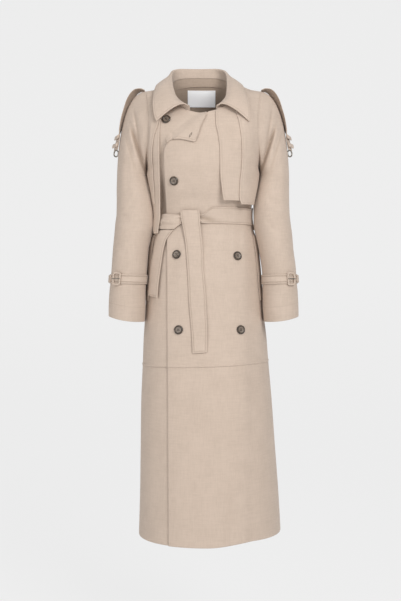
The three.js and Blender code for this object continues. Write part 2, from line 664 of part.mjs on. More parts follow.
// A sheet on the front: rows of points between two edges, a distance off the body.
function sheet(rows, columns, thick, pointOf) {
  return wall(rows.map((row) => span(columns).map((t) => pointOf(row, t))), thick);
}

// The turned corner lies on the left front, just below its roll line.
const cornerGrid = CORNER.map(({ x0, x1, z1 }) =>
  span(3).map((t) => {
    const x = mix(x0, x1, t);
    const z = mix(rollLine(x0) + CORNER_LIFT.below, z1, t);
    const swell = CORNER_LIFT.swell * Math.sin(t * CORNER_LIFT.wave);
    return frontPoint(x, z, LAP.lift + CORNER_LIFT.start + swell);
  }),
);
add("turned_corner", wall(cornerGrid, CLOTH));

// The flaps follow the chest, then hang freely over the waist.
function flapPoint({ x0, x1, z, lift }, t) {
  const x = mix(x0, x1, t);
  const base = x > 0 ? lapLift(x) : 0;
  const p = frontPoint(x, z, base + lift);
  if (z > HANG_FROM) return p;
  return p.setY(mix(frontPoint(x, HANG_FROM, base + lift).y, p.y, HANG_FOLLOW));
}
for (const [name, rows] of Object.entries(FLAPS)) {
  add(name, sheet(resampled(rows, FLAP_ROWS), 3, CLOTH, flapPoint));
}

// Belt
const ringTurns = span(BELT.columns).slice(0, -1).map((t) => 4 * t - 2);
const beltLift = (p) => (p.y < 0 ? lapLift(Math.abs(p.x)) : 0) + BELT.gap + BELT.thick;

// A point pushed out from near the middle of the waist.
const CORE_SHARE = 0.3;
function pushed(p, distance) {
  const out = p.clone().sub(vec(p.x * CORE_SHARE, 0, p.z)).normalize();
  return p.addScaledVector(out, distance);
}
const beltPoint = (turn, z, more = 0) => {
  const base = bodyPoint(turn, z);
  return pushed(base, beltLift(base) + more);
};

// The band's top edge, which dips between the knot and the middle.
const DIP = { from: [-127, -117], to: [-6, 26] };
function beltTop(turn) {
  if (Math.abs(turn) > 1) return BELT.top;
  const x = body.reach(BELT.top) * Math.sin((turn * Math.PI) / 2);
  return BELT.top - BELT.dip * (smooth(...DIP.from, x) - smooth(...DIP.to, x));
}
const bandGrid = span(2).map((t) =>
  ringTurns.map((turn) => beltPoint(turn, mix(BELT.bottom, beltTop(turn), t))));
add("belt_band", wall(bandGrid, BELT.thick, { closed: true }));

const tailPoint = ({ x0, x1, z, lift }, t) => frontPoint(mix(x0, x1, t), z, lift);
add("belt_long_tail", sheet(TAIL_LONG, 2, TAIL_THICK, tailPoint));
add("belt_short_tail", sheet(TAIL_SHORT, 2, TAIL_THICK, tailPoint));
const knotGrid = (liftOf) => KNOT.map(({ x, z0, z1, lift }) =>
  span(4).map((t) => frontPoint(x, mix(z0, z1, t), liftOf(lift, t))));
const knotOuter = knotGrid((lift, t) => mix(KNOT_BASE + TAIL_THICK, lift, Math.sin(Math.PI * t)));
add("belt_knot", between(knotOuter, knotGrid(() => KNOT_BASE)));
for (const [side, sign] of [["left", 1], ["right", -1]]) {
  const loopGrid = span(3).map((t) => span(2).map((u) => {
    const turn = sign * mix(LOOP.turn0, LOOP.turn1, u);
    return beltPoint(turn, mix(LOOP.bottom, LOOP.top, t), LOOP.thick + LOOP.gap);
  }));
  add(side + "_belt_loop", wall(loopGrid, LOOP.thick, { flip: sign < 0 }));
  const weltGrid = WELT.map(({ z, turn0, turn1 }) =>
    span(3).map((u) => pushed(bodyPoint(sign * mix(turn0, turn1, u), z), WELT_LIFT)));
  add(side + "_pocket_welt", wall(weltGrid, CLOTH, { flip: sign < 0 }));
}

// Buttons, each square to the cloth under it
const lathe = new THREE.LatheGeometry(BUTTON_PROFILE.map(({ r, h }) => new THREE.Vector2(r, h)), 16);
for (const { name, x, z } of BUTTONS) {
  const base = (name === "button_neck" ? NECK_BUTTON_BASE : LAP.lift) + BUTTON_GAP;
  const seat = frontPoint(x, z, base);
  const normal = frontPoint(x, z, base + 1).sub(seat).normalize();
  const mesh = add(name, lathe, horn);
  mesh.position.copy(seat);
  mesh.quaternion.setFromUnitVectors(vec(0, 1, 0), normal);
}

// Shoulder straps with their keepers and rings, and cuff straps with their buckles
const BUCKLE_GAP = 0.5;
const PATH_STEP = 0.05;
const LEAN_OVER = [1, 4];
const strapPath = Object.fromEntries(["x", "y", "z"].map((k) => [k, curveOf(STRAP_PATH, k, "s")]));
function strapPoint(sign, s, across, off) {
  const at = (t) => vec(sign * strapPath.x(t), strapPath.y(t), strapPath.z(t));
  const along = at(s + PATH_STEP).sub(at(s - PATH_STEP)).normalize();
  const side = vec(0, 1, 0).addScaledVector(along, -along.y).normalize();
  const normal = vec(-along.z * sign, 0, along.x * sign).normalize();
  const lean = THREE.MathUtils.degToRad(STRAP.lean) * smooth(...LEAN_OVER, s);
  return at(s)
    .addScaledVector(side, across * Math.cos(lean) - off * Math.sin(lean))
    .addScaledVector(normal, across * Math.sin(lean) + off * Math.cos(lean));
}

// A flat oblong frame, and the way it is set against the cloth.
const oblong = (path, w, h) => path.moveTo(-w, -h).lineTo(w, -h).lineTo(w, h).lineTo(-w, h).closePath();
function frameOf({ width, height, bar, thick }) {
  const shape = oblong(new THREE.Shape(), width / 2, height / 2);
  shape.holes.push(oblong(new THREE.Path(), width / 2 - bar, height / 2 - bar));
  return new THREE.ExtrudeGeometry(shape, { depth: thick, bevelEnabled: false });
}
function placed(mesh, origin, normal, up) {
  const z = normal.clone().normalize();
  const x = up.clone().cross(z).normalize();
  mesh.matrix.makeBasis(x, z.clone().cross(x), z).setPosition(origin);
  mesh.matrixAutoUpdate = false;
  return mesh;
}
for (const [side, sign] of [["left", 1], ["right", -1]]) {
  const slab = (from, to, steps, width, off, thick) => {
    const layer = (o) => span(steps).map((t) => span(2).map((u) =>
      strapPoint(sign, mix(from, to, t), mix(-width / 2, width / 2, u), o)));
    return between(layer(off + thick), layer(off));
  };
  add(side + "_shoulder_strap", slab(0, 9, 18, STRAP.width, -STRAP.thick, STRAP.thick));
  for (const { name, from, to } of KEEPERS) {
    add(side + "_keeper_" + name, slab(from, to, 1, KEEPER.width, KEEPER.gap, KEEPER.thick));
  }
  const ring = add(side + "_strap_ring", new THREE.TorusGeometry(RING.radius, RING.wire, 6, 16), metal);
  placed(ring, vec(sign * RING.x, RING.y, RING.z), vec(sign, RING.slant, 0), vec(0, 0, 1));

  const arm = (turn, z) => armPoint(side, turn, z);
  const core = (p) => arm(0, p.z).add(arm(2, p.z)).multiplyScalar(0.5);
  const cuffLift = (turn, z, off) => lifted(arm, turn, z, off, core);
  const rows = span(2).map((t) => mix(CUFF_STRAP.bottom, CUFF_STRAP.top, t));
  const outer = CUFF_STRAP.gap + CUFF_STRAP.thick;
  const ringGrid = rows.map((z) => armTurns.map((turn) => cuffLift(turn, z, outer)));
  add(side + "_cuff_strap", wall(ringGrid, CUFF_STRAP.thick, { closed: true, flip: side === "right" }));
  const middle = (CUFF_STRAP.top + CUFF_STRAP.bottom) / 2;
  const seat = cuffLift(BUCKLE.turn, middle, outer + BUCKLE_GAP);
  const normal = cuffLift(BUCKLE.turn, middle, outer + BUCKLE_GAP + 1).sub(seat);
  const [foot, head] = [CUFF_STRAP.bottom, CUFF_STRAP.top].map((z) => cuffLift(BUCKLE.turn, z, outer));
  const up = head.sub(foot);
  placed(add(side + "_cuff_buckle", frameOf(BUCKLE)), seat, normal, up);
  const pin = new THREE.CylinderGeometry(BUCKLE.pin, BUCKLE.pin, BUCKLE.width - 2, 8).rotateZ(Math.PI / 2);
  pin.translate(0, 0, BUCKLE.thick + BUCKLE.pin + BUCKLE.pinGap);
  placed(add(side + "_cuff_pin", pin, metal), seat, normal, up);
  const tipGrid = span(2).map((v) => span(3).map((u) => {
    const z = mix(CUFF_STRAP.bottom + CUFF_TIP.inset, CUFF_STRAP.top - CUFF_TIP.inset, v);
    return cuffLift(mix(CUFF_TIP.turn0, CUFF_TIP.turn1, u), z, outer + CUFF_TIP.lift);
  }));
  add(side + "_cuff_tip", wall(tipGrid, CUFF_STRAP.thick, { flip: side === "right" }));
}

// The neck label, on the inner face of the back
const labelGrid = span(2).map((t) => span(6).map((u) => {
  const z = mix(LABEL.bottom, LABEL.top, t);
  const x = LABEL.mid + mix(-LABEL.half, LABEL.half, u);
  const turn = 2 - turnAt(x, z);
  return lifted(bodyPoint, turn > 2 ? turn - 4 : turn, z, -CLOTH - 1, axisOf);
}));
add("neck_label", wall(labelGrid, LABEL.thick, { flip: true }), satin);

export default coat;
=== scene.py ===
"""A long double-breasted trench coat, filled out as if worn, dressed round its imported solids.

Sizes are millimetres in the coat's own frame and become metres when a mesh is made.
+X is the wearer's left, the front faces -Y and Z is up, with the origin between the shoulders.
"""

from __future__ import annotations

import logging
import math
from collections.abc import Callable, Sequence
from dataclasses import dataclass, field
from enum import Enum
from functools import partial

import bpy
import numpy as np
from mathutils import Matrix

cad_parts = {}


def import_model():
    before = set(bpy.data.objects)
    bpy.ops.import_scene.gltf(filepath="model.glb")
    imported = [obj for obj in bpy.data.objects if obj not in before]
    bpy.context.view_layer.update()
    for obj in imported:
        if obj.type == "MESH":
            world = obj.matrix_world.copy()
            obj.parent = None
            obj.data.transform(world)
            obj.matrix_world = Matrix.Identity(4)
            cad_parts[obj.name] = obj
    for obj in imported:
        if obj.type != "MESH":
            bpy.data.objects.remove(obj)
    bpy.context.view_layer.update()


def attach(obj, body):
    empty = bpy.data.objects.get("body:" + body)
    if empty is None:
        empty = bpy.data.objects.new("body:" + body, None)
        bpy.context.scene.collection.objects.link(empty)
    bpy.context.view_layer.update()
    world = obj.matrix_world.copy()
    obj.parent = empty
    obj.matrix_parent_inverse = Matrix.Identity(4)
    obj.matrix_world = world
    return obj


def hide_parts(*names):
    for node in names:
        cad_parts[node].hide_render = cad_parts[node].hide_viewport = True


LOG = logging.getLogger("coat")
MM = 0.001
BODY = "root"
STITCH_ROW = 6.0
FAR_FROM_EDGES = 500.0
LEAST_CUT_SHARE = 0.31
Array = np.ndarray
Colour = tuple[float, float, float]
Pair = tuple[float, float]
Nodes = bpy.types.Nodes
Links = bpy.types.NodeLinks
Socket = bpy.types.NodeSocket


class Side(Enum):
    """The wearer's sides, with the sign of X on each."""

    LEFT = 1
    RIGHT = -1

    @property
    def word(self) -> str:
        """The side's name in the solids' names."""
        return self.name.lower()


class Panel(Enum):
    """The body's panels, with their nodes' names."""

    BACK = "back"
    RIGHT = "right_front"
    LEFT = "left_front"


class Held(Enum):
    """How a sheet of cloth is held."""

    HUNG = "hung"
    LAID = "laid"
    FOLDED = "folded"
    GATHERED = "gathered"


def clamp(value: Array, low: float = 0.0, high: float = 1.0) -> Array:
    """Values held between low and high."""
    return np.clip(value, low, high)


def mix(first: Array, second: Array, share: Array) -> Array:
    """A share of the way from the first to the second."""
    return first + (second - first) * share


def smooth(low: float, high: float, value: Array) -> Array:
    """A soft step from 0 at low to 1 at high."""
    share = clamp((value - low) / (high - low))
    return share * share * (3 - 2 * share)


def unit(vectors: Array) -> Array:
    """Vectors of length one."""
    return vectors / np.maximum(np.linalg.norm(vectors, axis=-1, keepdims=True), 1e-9)


def points(x: Array, y: Array, z: Array) -> Array:
    """Points from their three coordinates, which broadcast together."""
    return np.stack(np.broadcast_arrays(x, y, z), axis=-1).astype(float)


class Table:
    """Named columns of numbers, read as smooth monotone curves along the first column."""

    def __init__(self, names: str, rows: Sequence[Sequence[float]]) -> None:
        """Sorts the rows by their first column and works out a slope at each."""
        self.names = names.split()
        self.rows = np.array(sorted(rows), float)
        self.at = self.rows[:, 0]
        self.slopes = {name: self._slopes(self.rows[:, i]) for i, name in enumerate(self.names)}

    def _slopes(self, values: Array) -> Array:
        """Harmonic means of neighbouring secants, which keep the curve monotone."""
        secant = np.diff(values) / np.diff(self.at)
        product = secant[:-1] * secant[1:]
        total = np.where(product > 0, secant[:-1] + secant[1:], 1.0)
        inner = np.where(product > 0, 2 * product / total, 0.0)
        return np.concatenate([secant[:1], inner, secant[-1:]])

    def read(self, name: str, at: Array) -> Array:
        """A column's value by cubic Hermite pieces, level beyond the ends.

        Args:
            name: the column's name.
            at: places along the first column.

        Returns:
            The values there.
        """
        column = self.names.index(name)
        values, slopes = self.rows[:, column], self.slopes[name]
        place = clamp(np.asarray(at, float), self.at[0], self.at[-1])
        i = np.clip(np.searchsorted(self.at, place, side="right") - 1, 0, len(self.at) - 2)
        step = self.at[i + 1] - self.at[i]
        t = (place - self.at[i]) / step
        t2, t3 = t * t, t * t * t
        start = (2 * t3 - 3 * t2 + 1) * values[i] + (t3 - 2 * t2 + t) * step * slopes[i]
        return start + (3 * t2 - 2 * t3) * values[i + 1] + (t3 - t2) * step * slopes[i + 1]


def spread(count: int, rim: Sequence[float] = (0.004, 0.01)) -> Array:
    """Shares from 0 to 1, closer together at both ends so that edges can be rounded."""
    ends = list(rim) + [1 - r for r in rim]
    return np.unique(np.concatenate([np.linspace(0, 1, count + 1), ends]))


def grid_normals(grid: Array, closed: bool) -> Array:
    """Unit normals of a grid of points: the cross product of its steps along and up."""
    if closed:
        along = np.roll(grid, -1, axis=1) - np.roll(grid, 1, axis=1)
    else:
        along = np.gradient(grid, axis=1)
    return unit(np.cross(along, np.gradient(grid, axis=0)))


@dataclass
class Rim:
    """Which edges of a grid carry a row of stitches, and how far in."""

    start: bool = True
    end: bool = True
    bottom: bool = True
    top: bool = True
    offset: float = 5.5


@dataclass
class Sheet:
    """A closed wall of cloth on a grid of points, with its cloth and rim coordinates and its shares of
    painted shade.
    """

    name: str
    grid: Array
    thick: float
    toward: int = -1
    closed: bool = False
    rim: Rim = field(default_factory=Rim)
    keep: Callable[[Array], Array] | None = None
    inner: Array | None = None
    round_to: float = 2.2
    edge_dip: float = 0.35
    # painted shade: the share of darker colour painted over the whole inner side
    inner_side_shade: float = 0.0
    rows: float = 0.4
    # painted shade: shares of darker colour painted into creases on the face
    crease_shade: Array | float = 0.0

    def lengths(self) -> tuple[Array, Array]:
        """Arc lengths along the rows and up the columns, in millimetres."""
        along = np.linalg.norm(np.diff(self.grid, axis=1), axis=2)
        up = np.linalg.norm(np.diff(self.grid, axis=0), axis=2)
        rows, columns = self.grid.shape[:2]
        across = np.concatenate([np.zeros((rows, 1)), np.cumsum(along, axis=1)], axis=1)
        climb = np.concatenate([np.zeros((1, columns)), np.cumsum(up, axis=0)], axis=0)
        return across, climb

    def layers(self) -> tuple[Array, Array]:
        """The sheet's two sides, with the face dipped a little at its finished edges.

        Returns:
            The face's and the inner side's points.
        """
        normals = grid_normals(self.grid, self.closed) * self.toward
        near = np.minimum(*self.edge_distances())
        dip = self.thick * self.edge_dip * (1 - smooth(0.0, self.round_to, near))
        back = self.inner if self.inner is not None else self.grid + normals * self.thick
        face = self.grid + normals * dip[..., None]
        if self.keep is not None:
            back, face = self.keep(back), self.keep(face)
        return face, back

    def edge_distances(self) -> tuple[Array, Array]:
        """Distances to the nearest finished side and to the nearest finished end."""
        across, climb = self.lengths()
        far = np.full(across.shape, FAR_FROM_EDGES)
        sides = far if self.closed or not self.rim.start else across
        if not self.closed and self.rim.end:
            sides = np.minimum(sides, across[:, -1:] - across)
        ends = climb if self.rim.bottom else far
        if self.rim.top:
            ends = np.minimum(ends, climb[-1:] - climb)
        return sides, ends

    def rim_distances(self) -> tuple[Array, Array]:
        """The distances to finished edges, shifted so that every row of stitches lies at the same one."""
        shift = STITCH_ROW - self.rim.offset
        sides, ends = self.edge_distances()
        return sides + shift, ends + shift

    def make(self) -> bpy.types.Object:
        """Builds the mesh, in metres.

        Returns:
            The piece, with its place in its mesh.
        """
        face, back = self.layers()
        rows, columns = face.shape[:2]
        size = rows * columns
        vertices = np.concatenate([face.reshape(-1, 3), back.reshape(-1, 3)]) * MM
        index = np.arange(size).reshape(rows, columns)
        if self.closed:
            index = np.concatenate([index, index[:, :1]], axis=1)
        a, b, c, d = index[:-1, :-1], index[:-1, 1:], index[1:, 1:], index[1:, :-1]
        outer = np.stack([a, b, c, d], axis=-1).reshape(-1, 4)
        inner = np.stack([a, d, c, b], axis=-1).reshape(-1, 4) + size
        low, high = index[0], index[-1]
        rims = [
            np.stack([low[1:], low[:-1], low[:-1] + size, low[1:] + size], axis=-1),
            np.stack([high[:-1], high[1:], high[1:] + size, high[:-1] + size], axis=-1),
        ]
        if not self.closed:
            first, last = index[:, 0], index[:, -1]
            rims.append(np.stack([first[:-1], first[1:], first[1:] + size, first[:-1] + size], axis=-1))
            rims.append(np.stack([last[1:], last[:-1], last[:-1] + size, last[1:] + size], axis=-1))
        faces = faced_out(vertices, [outer, inner, *rims])
        mesh = mesh_of(self.name, vertices, faces, flat=len(rims))
        across, climb = self.lengths()
        sides, ends = self.rim_distances()
        # painted shade: the tone map's first value is the share of painted shade, from the creases on the
        # face and the inner side's share on the back
        crease_shade = np.broadcast_to(self.crease_shade, (rows, columns)).ravel()
        tone = np.concatenate([crease_shade, np.full(size, self.inner_side_shade)])
        add_uv(mesh, "cloth", np.tile(across.ravel(), 2) * MM, np.tile(climb.ravel(), 2) * MM)
        add_uv(mesh, "rim", np.tile(sides.ravel(), 2) * MM, np.tile(ends.ravel(), 2) * MM)
        add_uv(mesh, "tone", tone, np.full(2 * size, self.rows))
        return object_of(self.name, mesh)

    def flat(self) -> tuple[float, float, float]:
        """The cut's size, measured on the grid.

        Returns:
            Its width and length in metres and its area in square metres.
        """
        across, climb = self.lengths()
        loop = np.linalg.norm(self.grid[:, 0] - self.grid[:, -1], axis=1) if self.closed else 0.0
        width, length = float((across[:, -1] + loop).max()) * MM, float(climb[-1].max()) * MM
        rising = self.grid[1:, 1:] - self.grid[:-1, :-1]
        falling = self.grid[1:, :-1] - self.grid[:-1, 1:]
        area = float(np.linalg.norm(np.cross(rising, falling), axis=2).sum() / 2) * MM * MM
        if self.closed:
            area *= self.grid.shape[1] / (self.grid.shape[1] - 1)
        width, length = round(width, 3), round(length, 3)
        oblong = width * length
        return width, length, min(max(area, LEAST_CUT_SHARE * oblong), oblong)


def mesh_of(name: str, vertices: Array, faces: Sequence[Array], flat: int = 0) -> bpy.types.Mesh:
    """A mesh from points in metres and arrays of faces, each array of one face size.

    Args:
        name: the mesh's name.
        vertices: the points.
        faces: arrays of vertex indices, one row a face.
        flat: how many arrays, counted from the last, are shaded flat.

    Returns:
        The mesh.
    """
    mesh = bpy.data.meshes.new(name)
    loops = np.concatenate([rows.ravel() for rows in faces])
    sizes = np.concatenate([np.full(len(rows), rows.shape[1]) for rows in faces])
    mesh.vertices.add(len(vertices))
    mesh.vertices.foreach_set("co", vertices.astype(np.float32).ravel())
    mesh.loops.add(len(loops))
    mesh.loops.foreach_set("vertex_index", loops.astype(np.int32))
    mesh.polygons.add(len(sizes))
    mesh.polygons.foreach_set("loop_start", (np.cumsum(sizes) - sizes).astype(np.int32))
    smooth_faces = np.ones(len(sizes), bool)
    smooth_faces[len(sizes) - sum(len(rows) for rows in faces[len(faces) - flat:]):] = False
    mesh.update(calc_edges=True)
    mesh.polygons.foreach_set("use_smooth", smooth_faces)
    mesh.validate()
    return mesh


def faced_out(vertices: Array, faces: Sequence[Array]) -> list[Array]:
    """The faces, turned over if the volume they enclose comes out negative."""
    volume = 0.0
    for rows in faces:
        for k in range(1, rows.shape[1] - 1):
            p, q, r = (vertices[rows[:, i]] for i in (0, k, k + 1))
            volume += np.einsum("ij,ij->", p, np.cross(q, r))
    return [rows[:, ::-1] if volume < 0 else rows for rows in faces]


def add_uv(mesh: bpy.types.Mesh, name: str, u: Array, v: Array) -> None:
    """Gives every corner its point's pair of values."""
    corner = np.zeros(len(mesh.loops), np.int32)
    mesh.loops.foreach_get("vertex_index", corner)
    layer = mesh.uv_layers.new(name=name)
    layer.data.foreach_set("uv", np.stack([u[corner], v[corner]], axis=1).astype(np.float32).ravel())


def object_of(name: str, data: bpy.types.ID) -> bpy.types.Object:
    """An object at the origin that shows a mesh, a light or a camera."""
    thing = bpy.data.objects.new(name, data)
    bpy.context.scene.collection.objects.link(thing)
    return thing


def solid_of(name: str, grid: Array, poles: bool = True, mask: Array | None = None) -> bpy.types.Object:
    """A closed solid from rings of points, in millimetres.

    Args:
        name: the piece's name.
        grid: the rings; the first and last are single points if poles is set.
        poles: whether the rings end in poles, or else join round.
        mask: two values for each point, kept as the UV map "pit".

    Returns:
        The piece.
    """
    rows, columns = grid.shape[:2]
    spare = columns - 1 if poles else 0
    count = rows * columns - 2 * spare
    vertices = grid.reshape(-1, 3)[spare : spare + count] * MM
    index = np.clip(np.arange(rows * columns) - spare, 0, count - 1).reshape(rows, columns)
    index = np.concatenate([index, index[:, :1]], axis=1)
    if not poles:
        index = np.concatenate([index, index[:1]])
    a, b, c, d = index[:-1, :-1], index[:-1, 1:], index[1:, 1:], index[1:, :-1]
    if poles:
        first = np.stack([a[0], c[0], d[0]], axis=-1)
        last = np.stack([a[-1], b[-1], c[-1]], axis=-1)
        middle = np.stack([a[1:-1], b[1:-1], c[1:-1], d[1:-1]], axis=-1).reshape(-1, 4)
        faces = [first, last, middle]
    else:
        faces = [np.stack([a, b, c, d], axis=-1).reshape(-1, 4)]
    mesh = mesh_of(name, vertices, faced_out(vertices, faces))
    if mask is not None:
        values = mask.reshape(-1, 2)[spare : spare + count]
        add_uv(mesh, "pit", values[:, 0], values[:, 1])
    return object_of(name, mesh)


@dataclass(frozen=True)
class Folds:
    """Soft troughs along lines in the front view, each faded at its ends.

    A row names the part, then gives x and z where the trough starts and where it ends, its
    depth and its half width. One part holds no depths but shares of painted shade in creases.
    """

    rows: tuple[tuple[str, float, float, float, float, float, float], ...]

    def depth(self, part: str, x: Array, z: Array) -> Array:
        """How far a part's folds push each point in: a sum of Gaussian troughs.

        Args:
            part: the part whose folds are wanted.
            x: places across, in millimetres.
            z: heights, in millimetres.

        Returns:
            The depths, in millimetres.
        """
        total = np.zeros(np.broadcast(x, z).shape)
        for name, x0, z0, x1, z1, deep, half in self.rows:
            if name != part:
                continue
            dx, dz = x1 - x0, z1 - z0
            length = math.hypot(dx, dz)
            along = ((x - x0) * dx + (z - z0) * dz) / length**2
            across = ((x - x0) * dz - (z - z0) * dx) / length / half
            fade = smooth(-0.15, 0.3, along) * (1 - smooth(0.75, 1.15, along))
            total = total + deep * fade * np.exp(-across * across)
        return total


FOLDS = Folds((
    ("sleeve", 200, -100, 162, -218, 6, 12),
    ("sleeve", 203, -104, 161, -232, 12, 5.5),
    # painted shade: these rows give shares of a darker colour along the sleeves' creases, not depths
    ("crease_shade", 202, -112, 160, -244, 1.8, 3.6),
    ("crease_shade", 224, -118, 190, -226, 0.4, 3),
    ("crease_shade", 194, -56, 176, -172, 0.4, 3),
    ("sleeve", 225, -92, 202, -188, 4, 9),
    ("sleeve", 196, -55, 172, -170, 4, 9),
    ("sleeve", 197, -52, 176, -168, 2.5, 3.5),
    ("sleeve", 216, -126, 184, -240, 2.5, 6),
    ("sleeve", 176, -300, 214, -352, 2.4, 8),
    ("sleeve", 236, -340, 204, -385, 2.2, 9),
    ("sleeve", 172, -372, 206, -412, 1.8, 8),
    ("sleeve", 250, -420, 214, -476, 2.0, 11),
    ("sleeve", 188, -450, 222, -500, 1.6, 9),
    ("sleeve", 214, -180, 206, -330, 2.2, 12),
    ("sleeve", 232, -150, 236, -290, 1.6, 9),
    ("body", 104, -300, 100, -470, 3, 12),
    ("body", 40, -390, 30, -560, 2.5, 16),
    ("body", -72, -392, -84, -560, 2.5, 14),
    ("body", -40, -330, -66, -240, 2.5, 16),
    ("body", 10, -335, 34, -262, 1.8, 9),
    ("body", 68, -338, 84, -276, 1.5, 8),
    ("body", -20, -336, -34, -284, 1.4, 7),
    ("body", 12, -392, 6, -470, 1.6, 8),
    ("body", 70, -392, 74, -480, 1.7, 9),
    ("body", 124, -395, 136, -520, 2.0, 10),
    ("body", 60, -600, 52, -900, 1.8, 26),
    ("body", -40, -620, -46, -980, 1.5, 24),
    ("body", 140, -640, 152, -1000, 2.0, 22),
    ("body", 20, -900, 14, -1240, 1.6, 30),
    ("body", 110, -880, 120, -1240, 2.2, 24),
    ("body", -120, -860, -128, -1220, 2.0, 22),
    ("back", 70, -410, 92, -720, 6, 22),
    ("back", -70, -410, -88, -720, 6, 22),
    ("back", 0, -405, 4, -640, 4, 18),
    ("back", 95, -325, 118, -200, 5, 16),
    ("back", -95, -325, -118, -200, 5, 16),
    ("back", 34, -330, 46, -250, 2.4, 10),
    ("back", -40, -332, -58, -262, 2.2, 9),
    ("back", 30, -395, 42, -520, 2.2, 10),
    ("back", -34, -395, -46, -505, 2.4, 11),
    ("back", 60, -860, 70, -1230, 3.0, 28),
    ("back", -64, -840, -76, -1230, 3.0, 26),
    ("back", -6, -900, 2, -1240, 2.2, 24),
    ("recess", -114, -150, -112, -330, 9, 9),
))


@dataclass
class Torso:
    """The coat's outer face round the body: superelliptic level sections that close over the shoulders."""

    cloth: float = 2.0
    seam_gap: float = 0.1
    underarm: float = -222
    seam_low: float = -779
    seam_rise: float = 11.5
    seam_from: float = -180
    seam_to: float = 190
    hem_low: float = -1257
    hem_rise: float = 12
    hem_from: float = 10
    hem_to: float = 140
    shoulder_half: float = 167
    neck_half: float = 98
    neck_side: float = 14
    neck_front: float = -80
    neck_back: float = 29
    climb_front: float = 70
    climb_back: float = 260
    power: float = 2.2
    roll_start: float = -130
    lap_lift: float = 4.6
    lap_end: float = 104
    hidden_edge_top: float = 60
    hidden_edge_span: Pair = (-250, -90)
    neck_turn: float = 0.4
    sections: Table = field(default_factory=lambda: Table("z mid half reach front back", [
        (-1257, 19.5, 202, 202, 176, 185),
        (-1150, 18, 197.5, 197.5, 172, 180),
        (-1000, 13.5, 191, 191, 166, 173),
        (-880, 10, 186, 186, 159, 166),
        (-771, 7.5, 179, 179, 152, 158),
        (-700, 6, 175, 175, 147, 153),
        (-640, 4.5, 169.5, 169.5, 141, 147),
        (-560, 3, 164, 164, 133, 138),
        (-480, 2.5, 158, 158, 120, 122),
        (-420, 2, 150.5, 150.5, 107, 107),
        (-385, 1.5, 139.5, 139.5, 98, 96),
        (-355, 1.5, 136, 136, 95, 92),
        (-325, 1, 138.5, 138.5, 100, 96),
        (-290, 1, 146.5, 146.5, 114, 106),
        (-260, 0.5, 153.5, 153.5, 123, 113),
        (-222, 0, 160, 160, 130, 118),
        (-180, 0, 176, 156, 131, 120),
        (-120, 0, 200, 153, 121, 117),
        (-60, 0, 215, 158, 101, 104),
        (-20, 0, 222, 164, 86, 90),
        (14, 0, 225, 167, 76, 76),
        (60, 0, 226, 167, 68, 66),
    ]))
    edge: Table = field(default_factory=lambda: Table("z x", [
        (-1257, -91.5), (-771, -95), (-355, -100), (-270, -103), (-198, -105.8), (-182, -104.4),
        (-168, -99), (-80, -96),
    ]))
    roll: tuple[float, float, float, float] = (-106, -171, 12.5, -81.5)

    def seam_at(self, x: Array) -> Array:
        """The skirt seam's height, which rises towards the wearer's left as a parabola."""
        share = clamp((x - self.seam_from) / (self.seam_to - self.seam_from))
        return self.seam_low + self.seam_rise * share**2

    def hem_at(self, x: Array) -> Array:
        """The hem's height, in a soft step towards the wearer's left."""
        return self.hem_low + self.hem_rise * smooth(self.hem_from, self.hem_to, x)

    def ridge(self, x: Array, climb: float) -> Array:
        """The shoulder ridge's height: a soft slope, and a steep rise inside the neck."""
        away = np.abs(x)
        inside = self.neck_side + climb * (1 - clamp(away / self.neck_half) ** 2) ** 0.8
        share = clamp((self.shoulder_half - away) / (self.shoulder_half - self.neck_half))
        outside = 1 + (self.neck_side - 1) * share**1.3
        return np.where(away < self.neck_half, inside, outside)

    def point(self, turn: Array, z: Array, front: bool) -> Array:
        """A point of the face. Turn 0 is the centre front, 1 the wearer's left side and 2 the centre back.

        The section is |x/a|^n + |y/b|^n = 1, and its depth shrinks on a quarter circle up to the ridge.
        """
        x = self.sections.read("mid", z) + self.sections.read("reach", z) * np.sin(turn * np.pi / 2)
        share = clamp(np.abs(x - self.sections.read("mid", z)) / self.sections.read("half", z))
        side = (1 - share**self.power) ** (1 / self.power)
        top = self.ridge(x, self.climb_front if front else self.climb_back)
        climb = clamp((z - self.roll_start) / (top - self.roll_start))
        depth = side * np.sqrt(1 - climb * climb)
        fold = FOLDS.depth("body" if front else "back", x, z) * side
        if front:
            return points(x, fold - self.sections.read("front", z) * depth, z)
        return points(x, self.sections.read("back", z) * depth - fold, z)

    def around(self, turn: Array, z: Array) -> Array:
        """A point of the face at any turn, front or back."""
        near = np.broadcast_to((np.abs(turn) <= 1)[..., None], (*np.broadcast(turn, z).shape, 3))
        return np.where(near, self.point(turn, z, True), self.point(turn, z, False))

    def turn_at(self, x: Array, z: Array) -> Array:
        """The turn at which the front has this x."""
        share = (x - self.sections.read("mid", z)) / self.sections.read("reach", z)
        return np.arcsin(clamp(share, -1, 1)) * 2 / np.pi

    def off(self, turn: Array, z: Array, lift: Array, front: bool = True) -> Array:
        """A point moved off the face along its normal."""
        p = self.point(turn, z, front)
        along = self.point(turn + 0.004, z, front) - self.point(turn - 0.004, z, front)
        up = self.point(turn, z + 0.6, front) - self.point(turn, z - 0.6, front)
        normal = unit(np.cross(along, up))
        core = points(p[..., 0] * 0.5, 0.0, p[..., 2])
        sign = np.sign(np.sum(normal * (p - core), axis=-1, keepdims=True))
        return p + normal * sign * np.asarray(lift, float)[..., None]

    def over(self, x: Array, z: Array, lift: Array) -> Array:
        """A point over the front at x and z."""
        x, z, lift = np.broadcast_arrays(x, z, lift)
        return self.off(clamp(self.turn_at(x, z), -0.985, 0.985), z, lift)

    def lap(self, x: Array) -> Array:
        """How far the left front lies over the right one, fading past the hidden edge."""
        return self.lap_lift * (1 - smooth(self.lap_end + 2, self.lap_end + 36, x))

